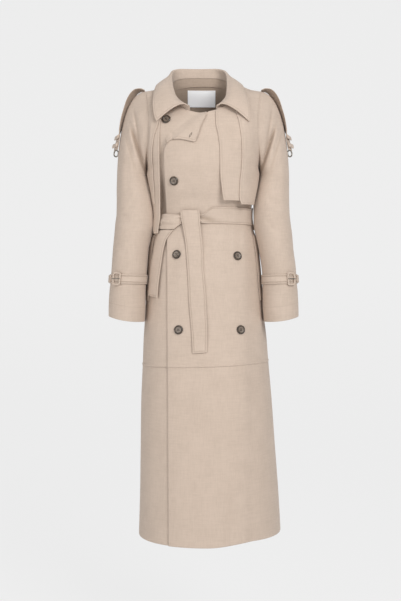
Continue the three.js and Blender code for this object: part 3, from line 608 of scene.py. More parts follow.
    def neckline(self, x: Array) -> Array:
        """The front neckline's height."""
        share = clamp(np.abs(x) / self.neck_half)
        return self.neck_front + (self.neck_side - self.neck_front) * (1 - np.sqrt(1 - share**2))

    def roll_line(self, x: Array) -> Array:
        """The line along which the left front's corner is turned down."""
        x0, z0, x1, z1 = self.roll
        return mix(z0, z1, clamp((x - x0) / (x1 - x0)))

    def top(self, panel: Panel, x: Array) -> Array:
        """The height of a panel's top edge at x."""
        away = np.abs(x)
        if panel is Panel.BACK:
            neck = self.neck_back - (self.neck_back - self.neck_side) * (x / self.neck_half) ** 2
            return np.where(away < self.neck_half, neck, self.ridge(x, self.climb_back))
        ridge = self.ridge(x, self.climb_front)
        if panel is Panel.RIGHT:
            inside = np.where(x < 0, self.neckline(x), self.neck_front - 0.6 * x)
            return np.where(x < -self.neck_half, ridge, inside)
        inside = np.where(x < self.roll[2], self.roll_line(x), self.neckline(x))
        return np.where(x < self.neck_half, inside, ridge)

    def panel_x(self, panel: Panel, turn: Array, z: Array) -> Array:
        """Where a panel's column stands; past the middle the lapping part is scaled to its edge."""
        mid = self.sections.read("mid", z)
        x = mid + self.sections.read("reach", z) * np.sin(turn * np.pi / 2)
        if panel is Panel.BACK:
            return x
        if panel is Panel.LEFT:
            lapping, edge = turn < 0, self.edge.read("x", z)
        else:
            climb = smooth(*self.hidden_edge_span, z)
            lapping, edge = turn > 0, mix(self.lap_end, self.hidden_edge_top, climb)
        share = np.sin(np.abs(turn) * np.pi / 2) / math.sin(self.neck_turn * math.pi / 2)
        return np.where(lapping, mix(mid, edge, share), x)

    def top_of(self, panel: Panel, turn: Array) -> Array:
        """The height at which each column meets the panel's top edge."""
        z = np.zeros(np.shape(turn))
        for _ in range(12):
            z = mix(z, self.top(panel, self.panel_x(panel, turn, z)), 0.7)
        return z

    def shoulder_folds(self, x: Array, z: Array, top: Array) -> Array:
        """The sleeve's folds where they run on over a panel, fading away from the armhole.

        They fade with the sine of the way up the armhole, as they do round the sleeve.
        """
        share = clamp((z - self.underarm) / (top - self.underarm))
        facing = 2 * np.sqrt(share * (1 - share))
        return FOLDS.depth("sleeve", np.abs(x), z) * facing**1.5 * smooth(118, 152, np.abs(x))

    def panel_point(self, panel: Panel, turn: Array, z: Array, folded: bool = False) -> Array:
        """A panel's face for a column and a height, on its own side of the side seam.

        Args:
            panel: the panel.
            turn: the columns, as turns.
            z: the heights.
            folded: whether the sleeve's folds run on over it.

        Returns:
            The points.
        """
        turn, z = np.broadcast_arrays(np.asarray(turn, float), np.asarray(z, float))
        if panel is Panel.BACK:
            p = self.point(np.where(turn >= 0, 2 - turn, -2 - turn), z, False)
            if folded:
                p[..., 1] -= self.shoulder_folds(p[..., 0], z, self.ridge(p[..., 0], self.climb_back))
            p[..., 1] = np.maximum(p[..., 1], 0) + self.seam_gap / 2
            return p
        x = self.panel_x(panel, turn, z)
        lift = self.lap(x) if panel is Panel.LEFT else np.zeros(x.shape)
        plain = self.point(self.turn_at(x, z), z, True)
        still = (np.abs(turn) > 0.97) | (lift == 0)
        p = np.where(still[..., None], plain, self.over(x, z, lift))
        if folded:
            p[..., 1] += self.shoulder_folds(x, z, self.ridge(x, self.climb_front))
        if panel is Panel.RIGHT:
            p[..., 1] += FOLDS.depth("recess", x, z)
        p[..., 1] = np.minimum(p[..., 1], 0) - self.seam_gap / 2
        return p


def eased(share: Array) -> Array:
    """A share that starts and ends slowly."""
    return (1 - np.cos(share * np.pi)) / 2


@dataclass(frozen=True)
class ClothFinish:
    """Brushed cotton: a soft nap over a fine twill, with rows of stitches near its edges, and a darker
    painted shade on its inner side and in its creases.
    """

    name: str = "brushed_cotton"
    light: Colour = (0.605, 0.490, 0.404)
    deep: Colour = (0.515, 0.412, 0.334)
    thread: Colour = (0.41, 0.315, 0.245)
    # painted shade: a darker colour, with a deeper mottle, painted where shade falls, on the inner side and
    # in creases
    painted_shade: Colour = (0.42, 0.325, 0.255)
    painted_shade_deep: Colour = (0.36, 0.275, 0.212)
    relief: float = 0.55
    relief_depth: float = 0.0006
    roughness: float = 0.88
    sheen: float = 0.18
    sheen_roughness: float = 0.5
    gloss: float = 0.2

    def make(self, groups: NodeGroups) -> bpy.types.Material:
        """Builds the material from the shared groups.

        Args:
            groups: the shader node groups.

        Returns:
            The material.
        """
        material, nodes, links, shader = new_material(self.name, self.light)
        blend, reckon = partial(colour_mix, nodes, links), partial(math_node, nodes, links)
        cloth, rim = uv_node(nodes, "cloth"), uv_node(nodes, "rim")
        nap = group_node(nodes, groups.nap)
        twill = group_node(nodes, groups.twill)
        sewing = group_node(nodes, groups.stitches)
        place = nodes.new("ShaderNodeTexCoord")
        links.new(place.outputs["Object"], nap.inputs["Place"])
        links.new(cloth.outputs["UV"], twill.inputs["Cloth"])
        links.new(cloth.outputs["UV"], sewing.inputs["Cloth"])
        links.new(rim.outputs["UV"], sewing.inputs["Rim"])
        sewing.inputs["Row"].default_value = STITCH_ROW * MM
        tone = nodes.new("ShaderNodeSeparateXYZ")
        links.new(uv_node(nodes, "tone").outputs["UV"], tone.inputs["Vector"])
        links.new(tone.outputs["Y"], sewing.inputs["Strength"])
        ground = blend(nap.outputs["Shade"], self.light, self.deep)
        dressed = blend(sewing.outputs["Thread"], ground, self.thread)
        # painted shade: the tone map's first value mixes in the painted shade colour on the inner side and
        # in the creases
        painted_shade = blend(nap.outputs["Shade"], self.painted_shade, self.painted_shade_deep)
        links.new(blend(tone.outputs["X"], dressed, painted_shade), shader.inputs["Base Color"])
        height = reckon("ADD", nap.outputs["Height"], twill.outputs["Height"])
        height = reckon("ADD", height, sewing.outputs["Height"])
        bump_node(nodes, links, height, shader, self.relief, self.relief_depth)
        set_values(shader, {
            "Roughness": self.roughness, "Sheen Weight": self.sheen,
            "Sheen Roughness": self.sheen_roughness, "Specular IOR Level": self.gloss,
        })
        return material


@dataclass(frozen=True)
class HornFinish:
    """Polished dark horn with lighter swirls, and painted shade, near black, in its thread holes."""

    name: str = "dark_horn"
    dark: Colour = (0.026, 0.018, 0.012)
    pale: Colour = (0.13, 0.09, 0.06)
    dish: Colour = (0.21, 0.165, 0.13)
    dish_dark: Colour = (0.05, 0.038, 0.028)
    # painted shade: near black in the thread holes, standing in for their depth
    hole: Colour = (0.01, 0.007, 0.005)
    swirl_scale: float = 95
    roughness: float = 0.38
    coat: float = 0.2
    coat_roughness: float = 0.15

    def make(self, groups: NodeGroups) -> bpy.types.Material:
        """Builds the material.

        Args:
            groups: the shader node groups; not used.

        Returns:
            The material.
        """
        material, nodes, links, shader = new_material(self.name, self.dark)
        place = nodes.new("ShaderNodeTexCoord").outputs["Object"]
        swirl = placed(nodes, links, "TexNoise", place, Scale=self.swirl_scale, Detail=5, Distortion=2.2)
        band = value_map(nodes, links, swirl.outputs["Fac"], 0.46, 0.72)
        pit = uv_node(nodes, "pit")
        split = nodes.new("ShaderNodeSeparateXYZ")
        links.new(pit.outputs["UV"], split.inputs["Vector"])
        blend = partial(colour_mix, nodes, links)
        rim = blend(band, self.dark, self.pale)
        middle = blend(band, self.dish, self.dish_dark)
        ground = blend(split.outputs["Y"], rim, middle)
        # painted shade: the pit mask darkens the thread holes
        links.new(blend(split.outputs["X"], ground, self.hole), shader.inputs["Base Color"])
        set_values(shader, {
            "Roughness": self.roughness, "Coat Weight": self.coat, "Coat Roughness": self.coat_roughness,
        })
        return material


@dataclass(frozen=True)
class MetalFinish:
    """Dull nickel, a little worn."""

    name: str = "dull_nickel"
    colour: Colour = (0.42, 0.39, 0.35)
    worn: Colour = (0.22, 0.19, 0.16)
    wear_scale: float = 400
    smooth_roughness: float = 0.28
    worn_roughness: float = 0.5

    def make(self, groups: NodeGroups) -> bpy.types.Material:
        """Builds the material.

        Args:
            groups: the shader node groups; not used.

        Returns:
            The material.
        """
        material, nodes, links, shader = new_material(self.name, self.colour)
        place = nodes.new("ShaderNodeTexCoord").outputs["Object"]
        wear = placed(nodes, links, "TexNoise", place, Scale=self.wear_scale, Detail=4)
        band = value_map(nodes, links, wear.outputs["Fac"], 0.4, 0.7)
        links.new(colour_mix(nodes, links, band, self.colour, self.worn), shader.inputs["Base Color"])
        ends = (self.smooth_roughness, self.worn_roughness)
        rough = value_map(nodes, links, wear.outputs["Fac"], 0.2, 0.9, *ends)
        links.new(rough, shader.inputs["Roughness"])
        shader.inputs["Metallic"].default_value = 1.0
        return material


@dataclass(frozen=True)
class LabelFinish:
    """White satin ribbon, closely woven, with a faint painted glow that lifts it out of the shade inside the
    neck.
    """

    name: str = "white_satin"
    colour: Colour = (0.93, 0.93, 0.94)
    deep: Colour = (0.84, 0.84, 0.85)
    painted_glow: float = 0.16
    stitching: float = 0.6
    relief: float = 0.3
    relief_depth: float = 0.0003
    roughness: float = 0.5
    sheen: float = 0.2

    def make(self, groups: NodeGroups) -> bpy.types.Material:
        """Builds the material from the shared groups.

        Args:
            groups: the shader node groups.

        Returns:
            The material.
        """
        material, nodes, links, shader = new_material(self.name, self.colour)
        cloth, rim = uv_node(nodes, "cloth"), uv_node(nodes, "rim")
        twill = group_node(nodes, groups.twill)
        links.new(cloth.outputs["UV"], twill.inputs["Cloth"])
        sewing = group_node(nodes, groups.stitches)
        links.new(cloth.outputs["UV"], sewing.inputs["Cloth"])
        links.new(rim.outputs["UV"], sewing.inputs["Rim"])
        set_values(sewing, {"Row": STITCH_ROW * MM, "Strength": self.stitching})
        ribbon = colour_mix(nodes, links, sewing.outputs["Thread"], self.colour, self.deep)
        links.new(ribbon, shader.inputs["Base Color"])
        height = math_node(nodes, links, "ADD", twill.outputs["Height"], sewing.outputs["Height"])
        bump_node(nodes, links, height, shader, self.relief, self.relief_depth)
        # painted glow: the label emits a little light, brightening it in the neck's shade
        set_values(shader, {
            "Roughness": self.roughness, "Sheen Weight": self.sheen,
            "Emission Color": (*self.colour, 1), "Emission Strength": self.painted_glow,
        })
        return material


@dataclass(frozen=True)
class ThreadFinish:
    """Brown twisted thread, paler on its strands."""

    name: str = "brown_thread"
    dark: Colour = (0.035, 0.025, 0.018)
    pale: Colour = (0.10, 0.075, 0.055)
    strand_scale: float = 700
    roughness: float = 0.8

    def make(self, groups: NodeGroups) -> bpy.types.Material:
        """Builds the material.

        Args:
            groups: the shader node groups; not used.

        Returns:
            The material.
        """
        material, nodes, links, shader = new_material(self.name, self.dark)
        place = nodes.new("ShaderNodeTexCoord").outputs["Object"]
        strand = placed(nodes, links, "TexWave", place, Scale=self.strand_scale, Distortion=3.0)
        twist = colour_mix(nodes, links, strand.outputs["Fac"], self.dark, self.pale)
        links.new(twist, shader.inputs["Base Color"])
        shader.inputs["Roughness"].default_value = self.roughness
        return material


def new_material(name: str, colour: Sequence[float]) -> tuple:
    """A material with a bare Principled shader: itself, its nodes, its links and the shader."""
    material = bpy.data.materials.new(name)
    material.use_nodes = True
    material.diffuse_color = (*colour, 1.0)
    nodes, links = material.node_tree.nodes, material.node_tree.links
    return material, nodes, links, nodes["Principled BSDF"]


def uv_node(nodes: Nodes, name: str) -> bpy.types.Node:
    """A node that reads one of the piece's UV maps."""
    node = nodes.new("ShaderNodeUVMap")
    node.uv_map = name
    return node


def set_values(node: bpy.types.Node, values: dict[str, object]) -> None:
    """Sets a node's inputs by their names."""
    for name, value in values.items():
        node.inputs[name].default_value = value


def placed(nodes: Nodes, links: Links, kind: str, place: Socket, **values: object) -> bpy.types.Node:
    """A texture node that reads a place, with its inputs set by name."""
    node = nodes.new("ShaderNode" + kind)
    set_values(node, values)
    links.new(place, node.inputs["Vector"])
    return node


def group_node(nodes: Nodes, group: bpy.types.NodeTree) -> bpy.types.Node:
    """A node that places a shared group."""
    node = nodes.new("ShaderNodeGroup")
    node.node_tree = group
    return node


def feed(links: Links, socket: Socket, value: object) -> None:
    """Links a socket to another, or sets it to a number or a colour."""
    if isinstance(value, Socket):
        links.new(value, socket)
    elif isinstance(value, (int, float)):
        socket.default_value = value
    else:
        socket.default_value = (*value, 1.0) if len(value) == 3 else tuple(value)


def colour_mix(nodes: Nodes, links: Links, share: object, first: object, second: object) -> Socket:
    """A colour between two, by a share."""
    node = nodes.new("ShaderNodeMix")
    node.data_type = "RGBA"
    feed(links, node.inputs["Factor"], share)
    feed(links, node.inputs[6], first)
    feed(links, node.inputs[7], second)
    return node.outputs[2]


def math_node(nodes: Nodes, links: Links, operation: str, *values: object) -> Socket:
    """One step of arithmetic on numbers or sockets."""
    node = nodes.new("ShaderNodeMath")
    node.operation = operation
    for socket, value in zip(node.inputs, values):
        feed(links, socket, value)
    return node.outputs[0]


def bump_node(nodes: Nodes, links: Links, height: Socket, shader: bpy.types.Node,
              strength: float, distance: float) -> None:
    """Turns a height into the shader's normal.

    Args:
        nodes: the tree's nodes.
        links: the tree's links.
        height: the height.
        shader: the shader that gets the normal.
        strength: the relief's strength, from 0 to 1.
        distance: the height that 1 stands for, in metres.
    """
    bump = nodes.new("ShaderNodeBump")
    set_values(bump, {"Strength": strength, "Distance": distance})
    links.new(height, bump.inputs["Height"])
    links.new(bump.outputs["Normal"], shader.inputs["Normal"])


def value_map(nodes: Nodes, links: Links, value: object, low: float, high: float,
              to_low: float = 0.0, to_high: float = 1.0) -> Socket:
    """A value moved smoothly from one range into another.

    Args:
        nodes: the tree's nodes.
        links: the tree's links.
        value: the value.
        low: where the first range starts.
        high: where it ends.
        to_low: where the second range starts.
        to_high: where it ends.

    Returns:
        The moved value.
    """
    node = nodes.new("ShaderNodeMapRange")
    node.interpolation_type = "SMOOTHSTEP"
    set_values(node, {"From Min": low, "From Max": high, "To Min": to_low, "To Max": to_high})
    feed(links, node.inputs["Value"], value)
    return node.outputs["Result"]


@dataclass
class NodeGroups:
    """The effects that more than one material uses, with the stitches' sizes in metres."""

    stitches_in_a_metre: float = 330.0
    dash_edge: Pair = (0.36, 0.44)
    thread_edge: Pair = (0.00025, 0.00065)
    channel_half: float = 0.0022
    corner_clear: Pair = (0.0045, 0.0062)

    def __post_init__(self) -> None:
        """Builds each group once."""
        self.nap = self._nap()
        self.twill = self._twill()
        self.stitches = self._stitches()

    @staticmethod
    def _group(name: str, inputs: dict[str, str], outputs: dict[str, str]) -> tuple:
        """A new group: itself, its nodes, its links, and its input and output nodes."""
        tree = bpy.data.node_groups.new(name, "ShaderNodeTree")
        for way, sockets in (("INPUT", inputs), ("OUTPUT", outputs)):
            for socket, kind in sockets.items():
                tree.interface.new_socket(name=socket, in_out=way, socket_type=kind)
        start, end = tree.nodes.new("NodeGroupInput"), tree.nodes.new("NodeGroupOutput")
        return tree, tree.nodes, tree.links, start, end

    def _nap(self) -> bpy.types.NodeTree:
        """A brushed nap: cloudy patches, slubs along both threads and short fibres.

        Returns:
            The group, which takes a place and gives a shade from 0 to 1 and a height.
        """
        tree, nodes, links, start, end = self._group(
            "nap", {"Place": "NodeSocketVector"}, {"Shade": "NodeSocketFloat", "Height": "NodeSocketFloat"}
        )
        reckon = partial(math_node, nodes, links)
        sizes = (("cloud", 22.0, 3.0), ("patch", 130.0, 4.0), ("fibre", 900.0, 3.0))
        values = {}
        for name, scale, detail in sizes:
            noise = placed(nodes, links, "TexNoise", start.outputs["Place"], Scale=scale, Detail=detail)
            values[name] = noise.outputs["Fac"]
        slubs = []
        for stretch in ((30.0, 30.0, 420.0), (420.0, 420.0, 26.0)):
            drawn = placed(nodes, links, "Mapping", start.outputs["Place"], Scale=stretch)
            slub = placed(nodes, links, "TexNoise", drawn.outputs["Vector"], Scale=1.0, Detail=3.0)
            slubs.append(reckon("MULTIPLY", slub.outputs["Fac"], 0.36))
        cloud = reckon("MULTIPLY", values["cloud"], 0.3)
        patch = reckon("MULTIPLY", values["patch"], 0.12)
        total = reckon("ADD", reckon("ADD", cloud, patch), reckon("ADD", *slubs))
        links.new(value_map(nodes, links, total, 0.35, 0.85), end.inputs["Shade"])
        low = reckon("MULTIPLY", values["patch"], 0.5)
        links.new(reckon("ADD", low, values["fibre"]), end.inputs["Height"])
        return tree

    def _twill(self) -> bpy.types.NodeTree:
        """A fine twill: slanted ridges, crossed by a weaker weft.

        Returns:
            The group, which takes cloth coordinates and gives a height.
        """
        tree, nodes, links, start, end = self._group(
            "twill", {"Cloth": "NodeSocketVector"}, {"Height": "NodeSocketFloat"}
        )
        heights = []
        for angle, scale, share in ((math.radians(58), 175.0, 0.55), (math.radians(-32), 240.0, 0.25)):
            turned = placed(nodes, links, "Mapping", start.outputs["Cloth"], Rotation=(0, 0, angle))
            way = turned.outputs["Vector"]
            wave = placed(nodes, links, "TexWave", way, Scale=scale, Distortion=1.2, Detail=2.0)
            heights.append(math_node(nodes, links, "MULTIPLY", wave.outputs["Fac"], share))
        links.new(math_node(nodes, links, "ADD", *heights), end.inputs["Height"])
        return tree

    def _stitches(self) -> bpy.types.NodeTree:
        """A row of stitches 3 mm long at a set distance from the rim, in a shallow pulled-in channel.

        Returns:
            The group, which gives where the thread shows, with painted shade along the pulled-in channel
            beside it, and how high it lies.
        """
        tree, nodes, links, start, end = self._group(
            "stitches",
            {
                "Rim": "NodeSocketVector", "Cloth": "NodeSocketVector",
                "Row": "NodeSocketFloat", "Strength": "NodeSocketFloat",
            },
            {"Thread": "NodeSocketFloat", "Height": "NodeSocketFloat"},
        )
        reckon, ease = partial(math_node, nodes, links), partial(value_map, nodes, links)
        rim, cloth = nodes.new("ShaderNodeSeparateXYZ"), nodes.new("ShaderNodeSeparateXYZ")
        links.new(start.outputs["Rim"], rim.inputs["Vector"])
        links.new(start.outputs["Cloth"], cloth.inputs["Vector"])
        row = start.outputs["Row"]
        threads, channels = [], []
        for near, other, along in (("X", "Y", "Y"), ("Y", "X", "X")):
            away = reckon("ABSOLUTE", reckon("SUBTRACT", rim.outputs[near], row))
            inside = ease(rim.outputs[other], *self.corner_clear)
            line = ease(away, *self.thread_edge, 1.0, 0.0)
            cycle = reckon("FRACT", reckon("MULTIPLY", cloth.outputs[along], self.stitches_in_a_metre))
            from_middle = reckon("ABSOLUTE", reckon("SUBTRACT", cycle, 0.5))
            dash = ease(from_middle, *self.dash_edge, 1.0, 0.0)
            threads.append(reckon("MULTIPLY", reckon("MULTIPLY", line, dash), inside))
            channels.append(reckon("MULTIPLY", ease(away, 0.0, self.channel_half, 1.0, 0.0), inside))
        thread, channel = reckon("MAXIMUM", *threads), reckon("MAXIMUM", *channels)
        strength = start.outputs["Strength"]
        # painted shade: the channel beside the thread is darkened towards the thread's colour
        mark = reckon("MAXIMUM", thread, reckon("MULTIPLY", channel, 0.8))
        links.new(reckon("MULTIPLY", mark, strength), end.inputs["Thread"])
        total = reckon("ADD", reckon("MULTIPLY", thread, 1.4), reckon("MULTIPLY", channel, -4.5))
        links.new(reckon("MULTIPLY", total, strength), end.inputs["Height"])
        return tree


@dataclass
class Wardrobe:
    """The materials by name, and how a finished piece is dressed."""

    materials: dict[str, bpy.types.Material]

    def dress(self, thing: bpy.types.Object, slot: str, *nodes: str, finish: str = "") -> bpy.types.Object:
        """Gives a piece its material, its body and the solids it stands for.

        Args:
            thing: the piece.
            slot: the record's material slot.
            nodes: the solids that the piece replaces.
            finish: the material's name where it isn't the slot's own.

        Returns:
            The piece.
        """
        thing.data.materials.clear()
        thing.data.materials.append(self.materials[finish or slot])
        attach(thing, BODY)
        if nodes:
            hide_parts(*nodes)
        LOG.info("%s: %d faces", thing.name, len(thing.data.polygons))
        return thing

    def sheet(self, sheet: Sheet, node: str, held: Held, rests_on: Sequence[str] = (),
              slot: str = "cloth") -> bpy.types.Object:
        """Args:
            sheet: the sheet.
            node: the solid that it replaces.
            held: how it is held; not used.
            rests_on: the pieces that it rests on; not used.
            slot: the record's material slot.

        Returns:
            The piece.
        """
        thing = self.dress(sheet.make(), slot, node)
        width, length, area = sheet.flat()
        LOG.info("%s: cut %.3f by %.3f m, %.4f m2", thing.name, width, length, area)
        return thing


@dataclass
class CoatBody:
    """The back, the two fronts and the three skirt panels below the level seam."""

    torso: Torso
    wardrobe: Wardrobe
    columns: int = 90
    low_rows: int = 96
    high_rows: int = 66
    skirt_rows: int = 60
    allowance: tuple[float, ...] = (1.5, 3.0, 5.2, 7.2, 9.0, 12.0)
    swell: float = 1.2

    def turns(self, panel: Panel) -> Array:
        """The columns of a panel, as turns."""
        share = spread(self.columns)
        if panel is Panel.BACK:
            return 2 * share - 1
        if panel is Panel.RIGHT:
            return -1 + share * (1 + self.torso.neck_turn)
        return -self.torso.neck_turn + share * (1 + self.torso.neck_turn)

    def upper(self, panel: Panel) -> Array:
        """The face above the skirt seam."""
        t = self.torso
        turn = self.turns(panel)[None, :]
        seam = t.seam_at(t.panel_x(panel, turn, t.seam_low)) + t.seam_gap
        near = np.array(self.allowance)[:, None] + seam
        low = mix(near[-1:], t.underarm, spread(self.low_rows)[1:-1, None])
        high = mix(t.underarm, t.top_of(panel, turn), eased(spread(self.high_rows))[:, None])
        heights = np.concatenate([seam, near, low, high])
        p = t.panel_point(panel, turn, heights, folded=True)
        swell = self.swell * (1 - smooth(self.allowance[2], self.allowance[3], heights - seam))
        out = unit(p * np.array([1.0, 1.0, 0.0]))
        return p + out * swell[..., None]

    def skirt(self, panel: Panel) -> Array:
        """The face below the skirt seam."""
        t = self.torso
        turn = self.turns(panel)[None, :]
        hem = t.hem_at(t.panel_x(panel, turn, t.hem_low))
        seam = t.seam_at(t.panel_x(panel, turn, t.seam_low)) - t.seam_gap
        return t.panel_point(panel, turn, mix(hem, seam, spread(self.skirt_rows)[:, None]))

    def keep(self, panel: Panel) -> Callable[[Array], Array]:
        """Holds the inner side on its own side of the side and shoulder seams."""
        gap = self.torso.seam_gap / 2

        def hold(p: Array) -> Array:
            """Moves points that crossed the seam back to it."""
            y = np.maximum(p[..., 1], gap) if panel is Panel.BACK else np.minimum(p[..., 1], -gap)
            return np.concatenate([p[..., :1], y[..., None], p[..., 2:]], axis=-1)

        return hold

    def build(self) -> None:
        """Makes the six panels."""
        stitched = {
            Panel.BACK: dict(start=False, end=False),
            Panel.RIGHT: dict(start=False, end=True),
            Panel.LEFT: dict(start=True, end=False),
        }
        for panel, sides in stitched.items():
            toward = 1 if panel is Panel.BACK else -1
            rim, keep = Rim(top=False, **sides), self.keep(panel)
            # painted shade: the panels' inner side is painted darker, as shade falls inside the coat
            common = dict(thick=self.torso.cloth, toward=toward, rim=rim, keep=keep, inner_side_shade=1.0, rows=0.0)
            name = "cloth_" + panel.value
            self.wardrobe.sheet(Sheet(name, self.upper(panel), **common), panel.value, Held.HUNG)
            skirt = Sheet(name + "_skirt", self.skirt(panel), **common)
            self.wardrobe.sheet(skirt, panel.value + "_skirt", Held.HUNG, [name])


SLEEVES = {
    Side.LEFT: Table("z outer inner depth mid", [
        (-655, 267.5, 170, 60, -56), (-617, 267, 167, 60, -55), (-566, 264.5, 166.5, 60, -53),
        (-537, 261.5, 167, 60, -51), (-509, 260.5, 165, 61, -49), (-452, 254, 156.5, 63, -43),
        (-409, 251, 147.5, 64, -37), (-380, 247.5, 143, 65, -32), (-351, 245, 143, 66, -26),
        (-323, 244.5, 143, 67, -20), (-280, 245, 149.5, 69, -10), (-245, 245.5, 158, 71, -4),
    ]),
    Side.RIGHT: Table("z outer inner depth mid", [
        (-655, 264, 163, 60, -56), (-617, 264, 161, 60, -55), (-566, 261.5, 160, 60, -53),
        (-537, 258, 158.5, 60, -51), (-509, 256.5, 156.5, 61, -49), (-452, 253, 152.5, 63, -43),
        (-409, 249.5, 142.5, 64, -37), (-380, 247.5, 136.5, 65, -32), (-351, 244.5, 136, 66, -26),
        (-323, 244.5, 137, 67, -20), (-280, 245.5, 145.5, 69, -10), (-245, 245, 156, 71, -4),
    ]),
}


@dataclass
class Sleeve:
    """A set-in sleeve: the armhole's loop turns down into rings round a hanging arm."""

    torso: Torso
    side: Side
    cuff: float = -652
    bicep: float = -245
    tilt: float = 0.15
    tilt_curve: float = 0.09
    tilt_power: float = 6
    seam_push: float = 0.1
    forward: float = 0.62
    drop_out: float = -0.16
    follow_from: Pair = (0.12, 0.4)
    follow_to: Pair = (0.7, 0.95)
    leave: Pair = (0.7, 0.76)
    arrive: Pair = (0.8, 0.9)
    inset: float = 0.985
    ring_bunch: float = 1.15
    head_rings: int = 70
    arm_rings: int = 120
    columns: int = 112

    def arm(self, turn: Array, z: Array) -> Array:
        """A ring of the arm: turn 0 faces the body, 1 the front, 2 outwards and 3 the back."""
        table = SLEEVES[self.side]
        angle = turn * np.pi / 2
        share = clamp((self.bicep - z) / (self.bicep - self.cuff)) ** self.tilt_power
        width = (table.read("outer", z) - table.read("inner", z)) / 2
        aside = -np.cos(angle)
        height = z + share * width * (self.tilt * aside + self.tilt_curve * aside**2)
        outer, inner = table.read("outer", height), table.read("inner", height)
        x = (outer + inner) / 2 - (outer - inner) / 2 * np.cos(angle)
        y = table.read("mid", height) - table.read("depth", height) * np.sin(angle)
        return points(self.side.value * x, y, height)

    def armhole(self, turn: Array, column: float = 1.0) -> Array:
        """The seam's loop, on the edges of the front and the back.

        Args:
            turn: places round the loop, from underneath over the front to the top and the back.
            column: the panels' column, 1 on the seam and less a little way in.

        Returns:
            The points.
        """
        front = Panel.LEFT if self.side is Side.LEFT else Panel.RIGHT
        loops = []
        for panel, share in ((front, turn / 2), (Panel.BACK, (4 - turn) / 2)):
            edge = np.full(turn.shape, self.side.value * column)
            z = mix(self.torso.underarm, self.torso.top_of(panel, edge), eased(clamp(share)))
            loops.append(self.torso.panel_point(panel, edge, z))
        return np.where((turn <= 2)[..., None], loops[0], loops[1])

    def folded(self, p: Array, turn: Array) -> Array:
        """The folds from the shoulder to the armpit and round the elbow, in front and behind."""
        facing = np.sin(turn * np.pi / 2)
        depth = FOLDS.depth("sleeve", np.abs(p[..., 0]), p[..., 2]) * np.abs(facing) ** 1.5
        moved = p.copy()
        moved[..., 1] += np.sign(facing) * depth
        return moved

    def grid(self) -> Array:
        """The face, from the armhole seam down to the cuff.

        The head is a cubic Hermite from the seam, leaving it outwards on top and downwards
        underneath, to the first ring of the arm. Between them it goes on along the body's face.

        Returns:
            The points, by rings and columns.
        """
        turn = (np.arange(self.columns) * 4 / self.columns)[None, :]
        s = (spread(self.head_rings)[:-1] ** self.ring_bunch)[:, None, None]
        start, end = self.armhole(turn), self.arm(turn, np.full(turn.shape, self.bicep))
        chord = np.linalg.norm(end - start, axis=-1, keepdims=True)
        lift = ((1 - np.cos(turn * np.pi / 2)) / 2)[..., None]
        facing = np.where(turn > 2, -1, 1) * self.forward * np.sin(np.minimum(turn, 4 - turn) * np.pi / 2)
        follow = smooth(*self.follow_from, lift) * (1 - smooth(*self.follow_to, lift))
        onward = unit(start - self.armhole(turn, self.inset))
        out = unit(mix(unit(points(self.side.value, facing, self.drop_out)), onward, follow))
        loop_way = np.where(turn < 2, 1, -1)[..., None]
        along = unit(np.roll(start, 1, axis=1) - np.roll(start, -1, axis=1)) * loop_way
        drop = np.full(turn.shape, -1.0)
        down = unit(mix(points(self.side.value * 0.12, 0.0, drop), along, follow))
        away = unit(out * lift**0.8 + down * (1 - lift) ** 1.1)
        leave = away * chord * mix(*self.leave, lift)
        arrive = points(self.side.value * 0.02, 0.0, drop) * chord * mix(*self.arrive, lift)
        head = (
            start * (2 * s**3 - 3 * s**2 + 1) + leave * (s**3 - 2 * s**2 + s)
            + end * (3 * s**2 - 2 * s**3) + arrive * (s**3 - s**2) + away * self.seam_push * (1 - s) ** 2
        )
        rows = mix(self.bicep, self.cuff, spread(self.arm_rings))[:, None]
        whole = np.concatenate([head, self.arm(turn, rows)])
        return self.folded(whole, np.broadcast_to(turn, whole.shape[:2]))

    def build(self, wardrobe: Wardrobe) -> None:
        """Makes the sleeve.
        """
        word = self.side.word
        toward = 1 if self.side is Side.LEFT else -1
        grid = self.grid()
        # painted shade: a darker colour painted along the creases, and on the sleeve's inner side
        crease_shade = clamp(FOLDS.depth("crease_shade", np.abs(grid[..., 0]), grid[..., 2]))
        sheet = Sheet(
            f"cloth_{word}_sleeve", grid, self.torso.cloth, toward=toward, closed=True,
            rim=Rim(bottom=False, top=True, offset=40), rows=0.25, inner_side_shade=1.0, crease_shade=crease_shade,
        )
        wardrobe.sheet(sheet, word + "_sleeve", Held.HUNG, ["cloth_back", f"cloth_{word}_front"])

    def off(self, turn: Array, z: Array, lift: float) -> Array:
        """A point off the arm along its normal."""
        turn, z = np.broadcast_arrays(np.asarray(turn, float), np.asarray(z, float))
        p = self.arm(turn, z)
        along = self.arm(turn + 0.004, z) - self.arm(turn - 0.004, z)
        up = self.arm(turn, z + 0.6) - self.arm(turn, z - 0.6)
        normal = unit(np.cross(along, up))
        core = (self.arm(turn * 0, z) + self.arm(turn * 0 + 2, z)) / 2
        sign = np.sign(np.sum(normal * (p - core), axis=-1, keepdims=True))
        return p + normal * sign * lift


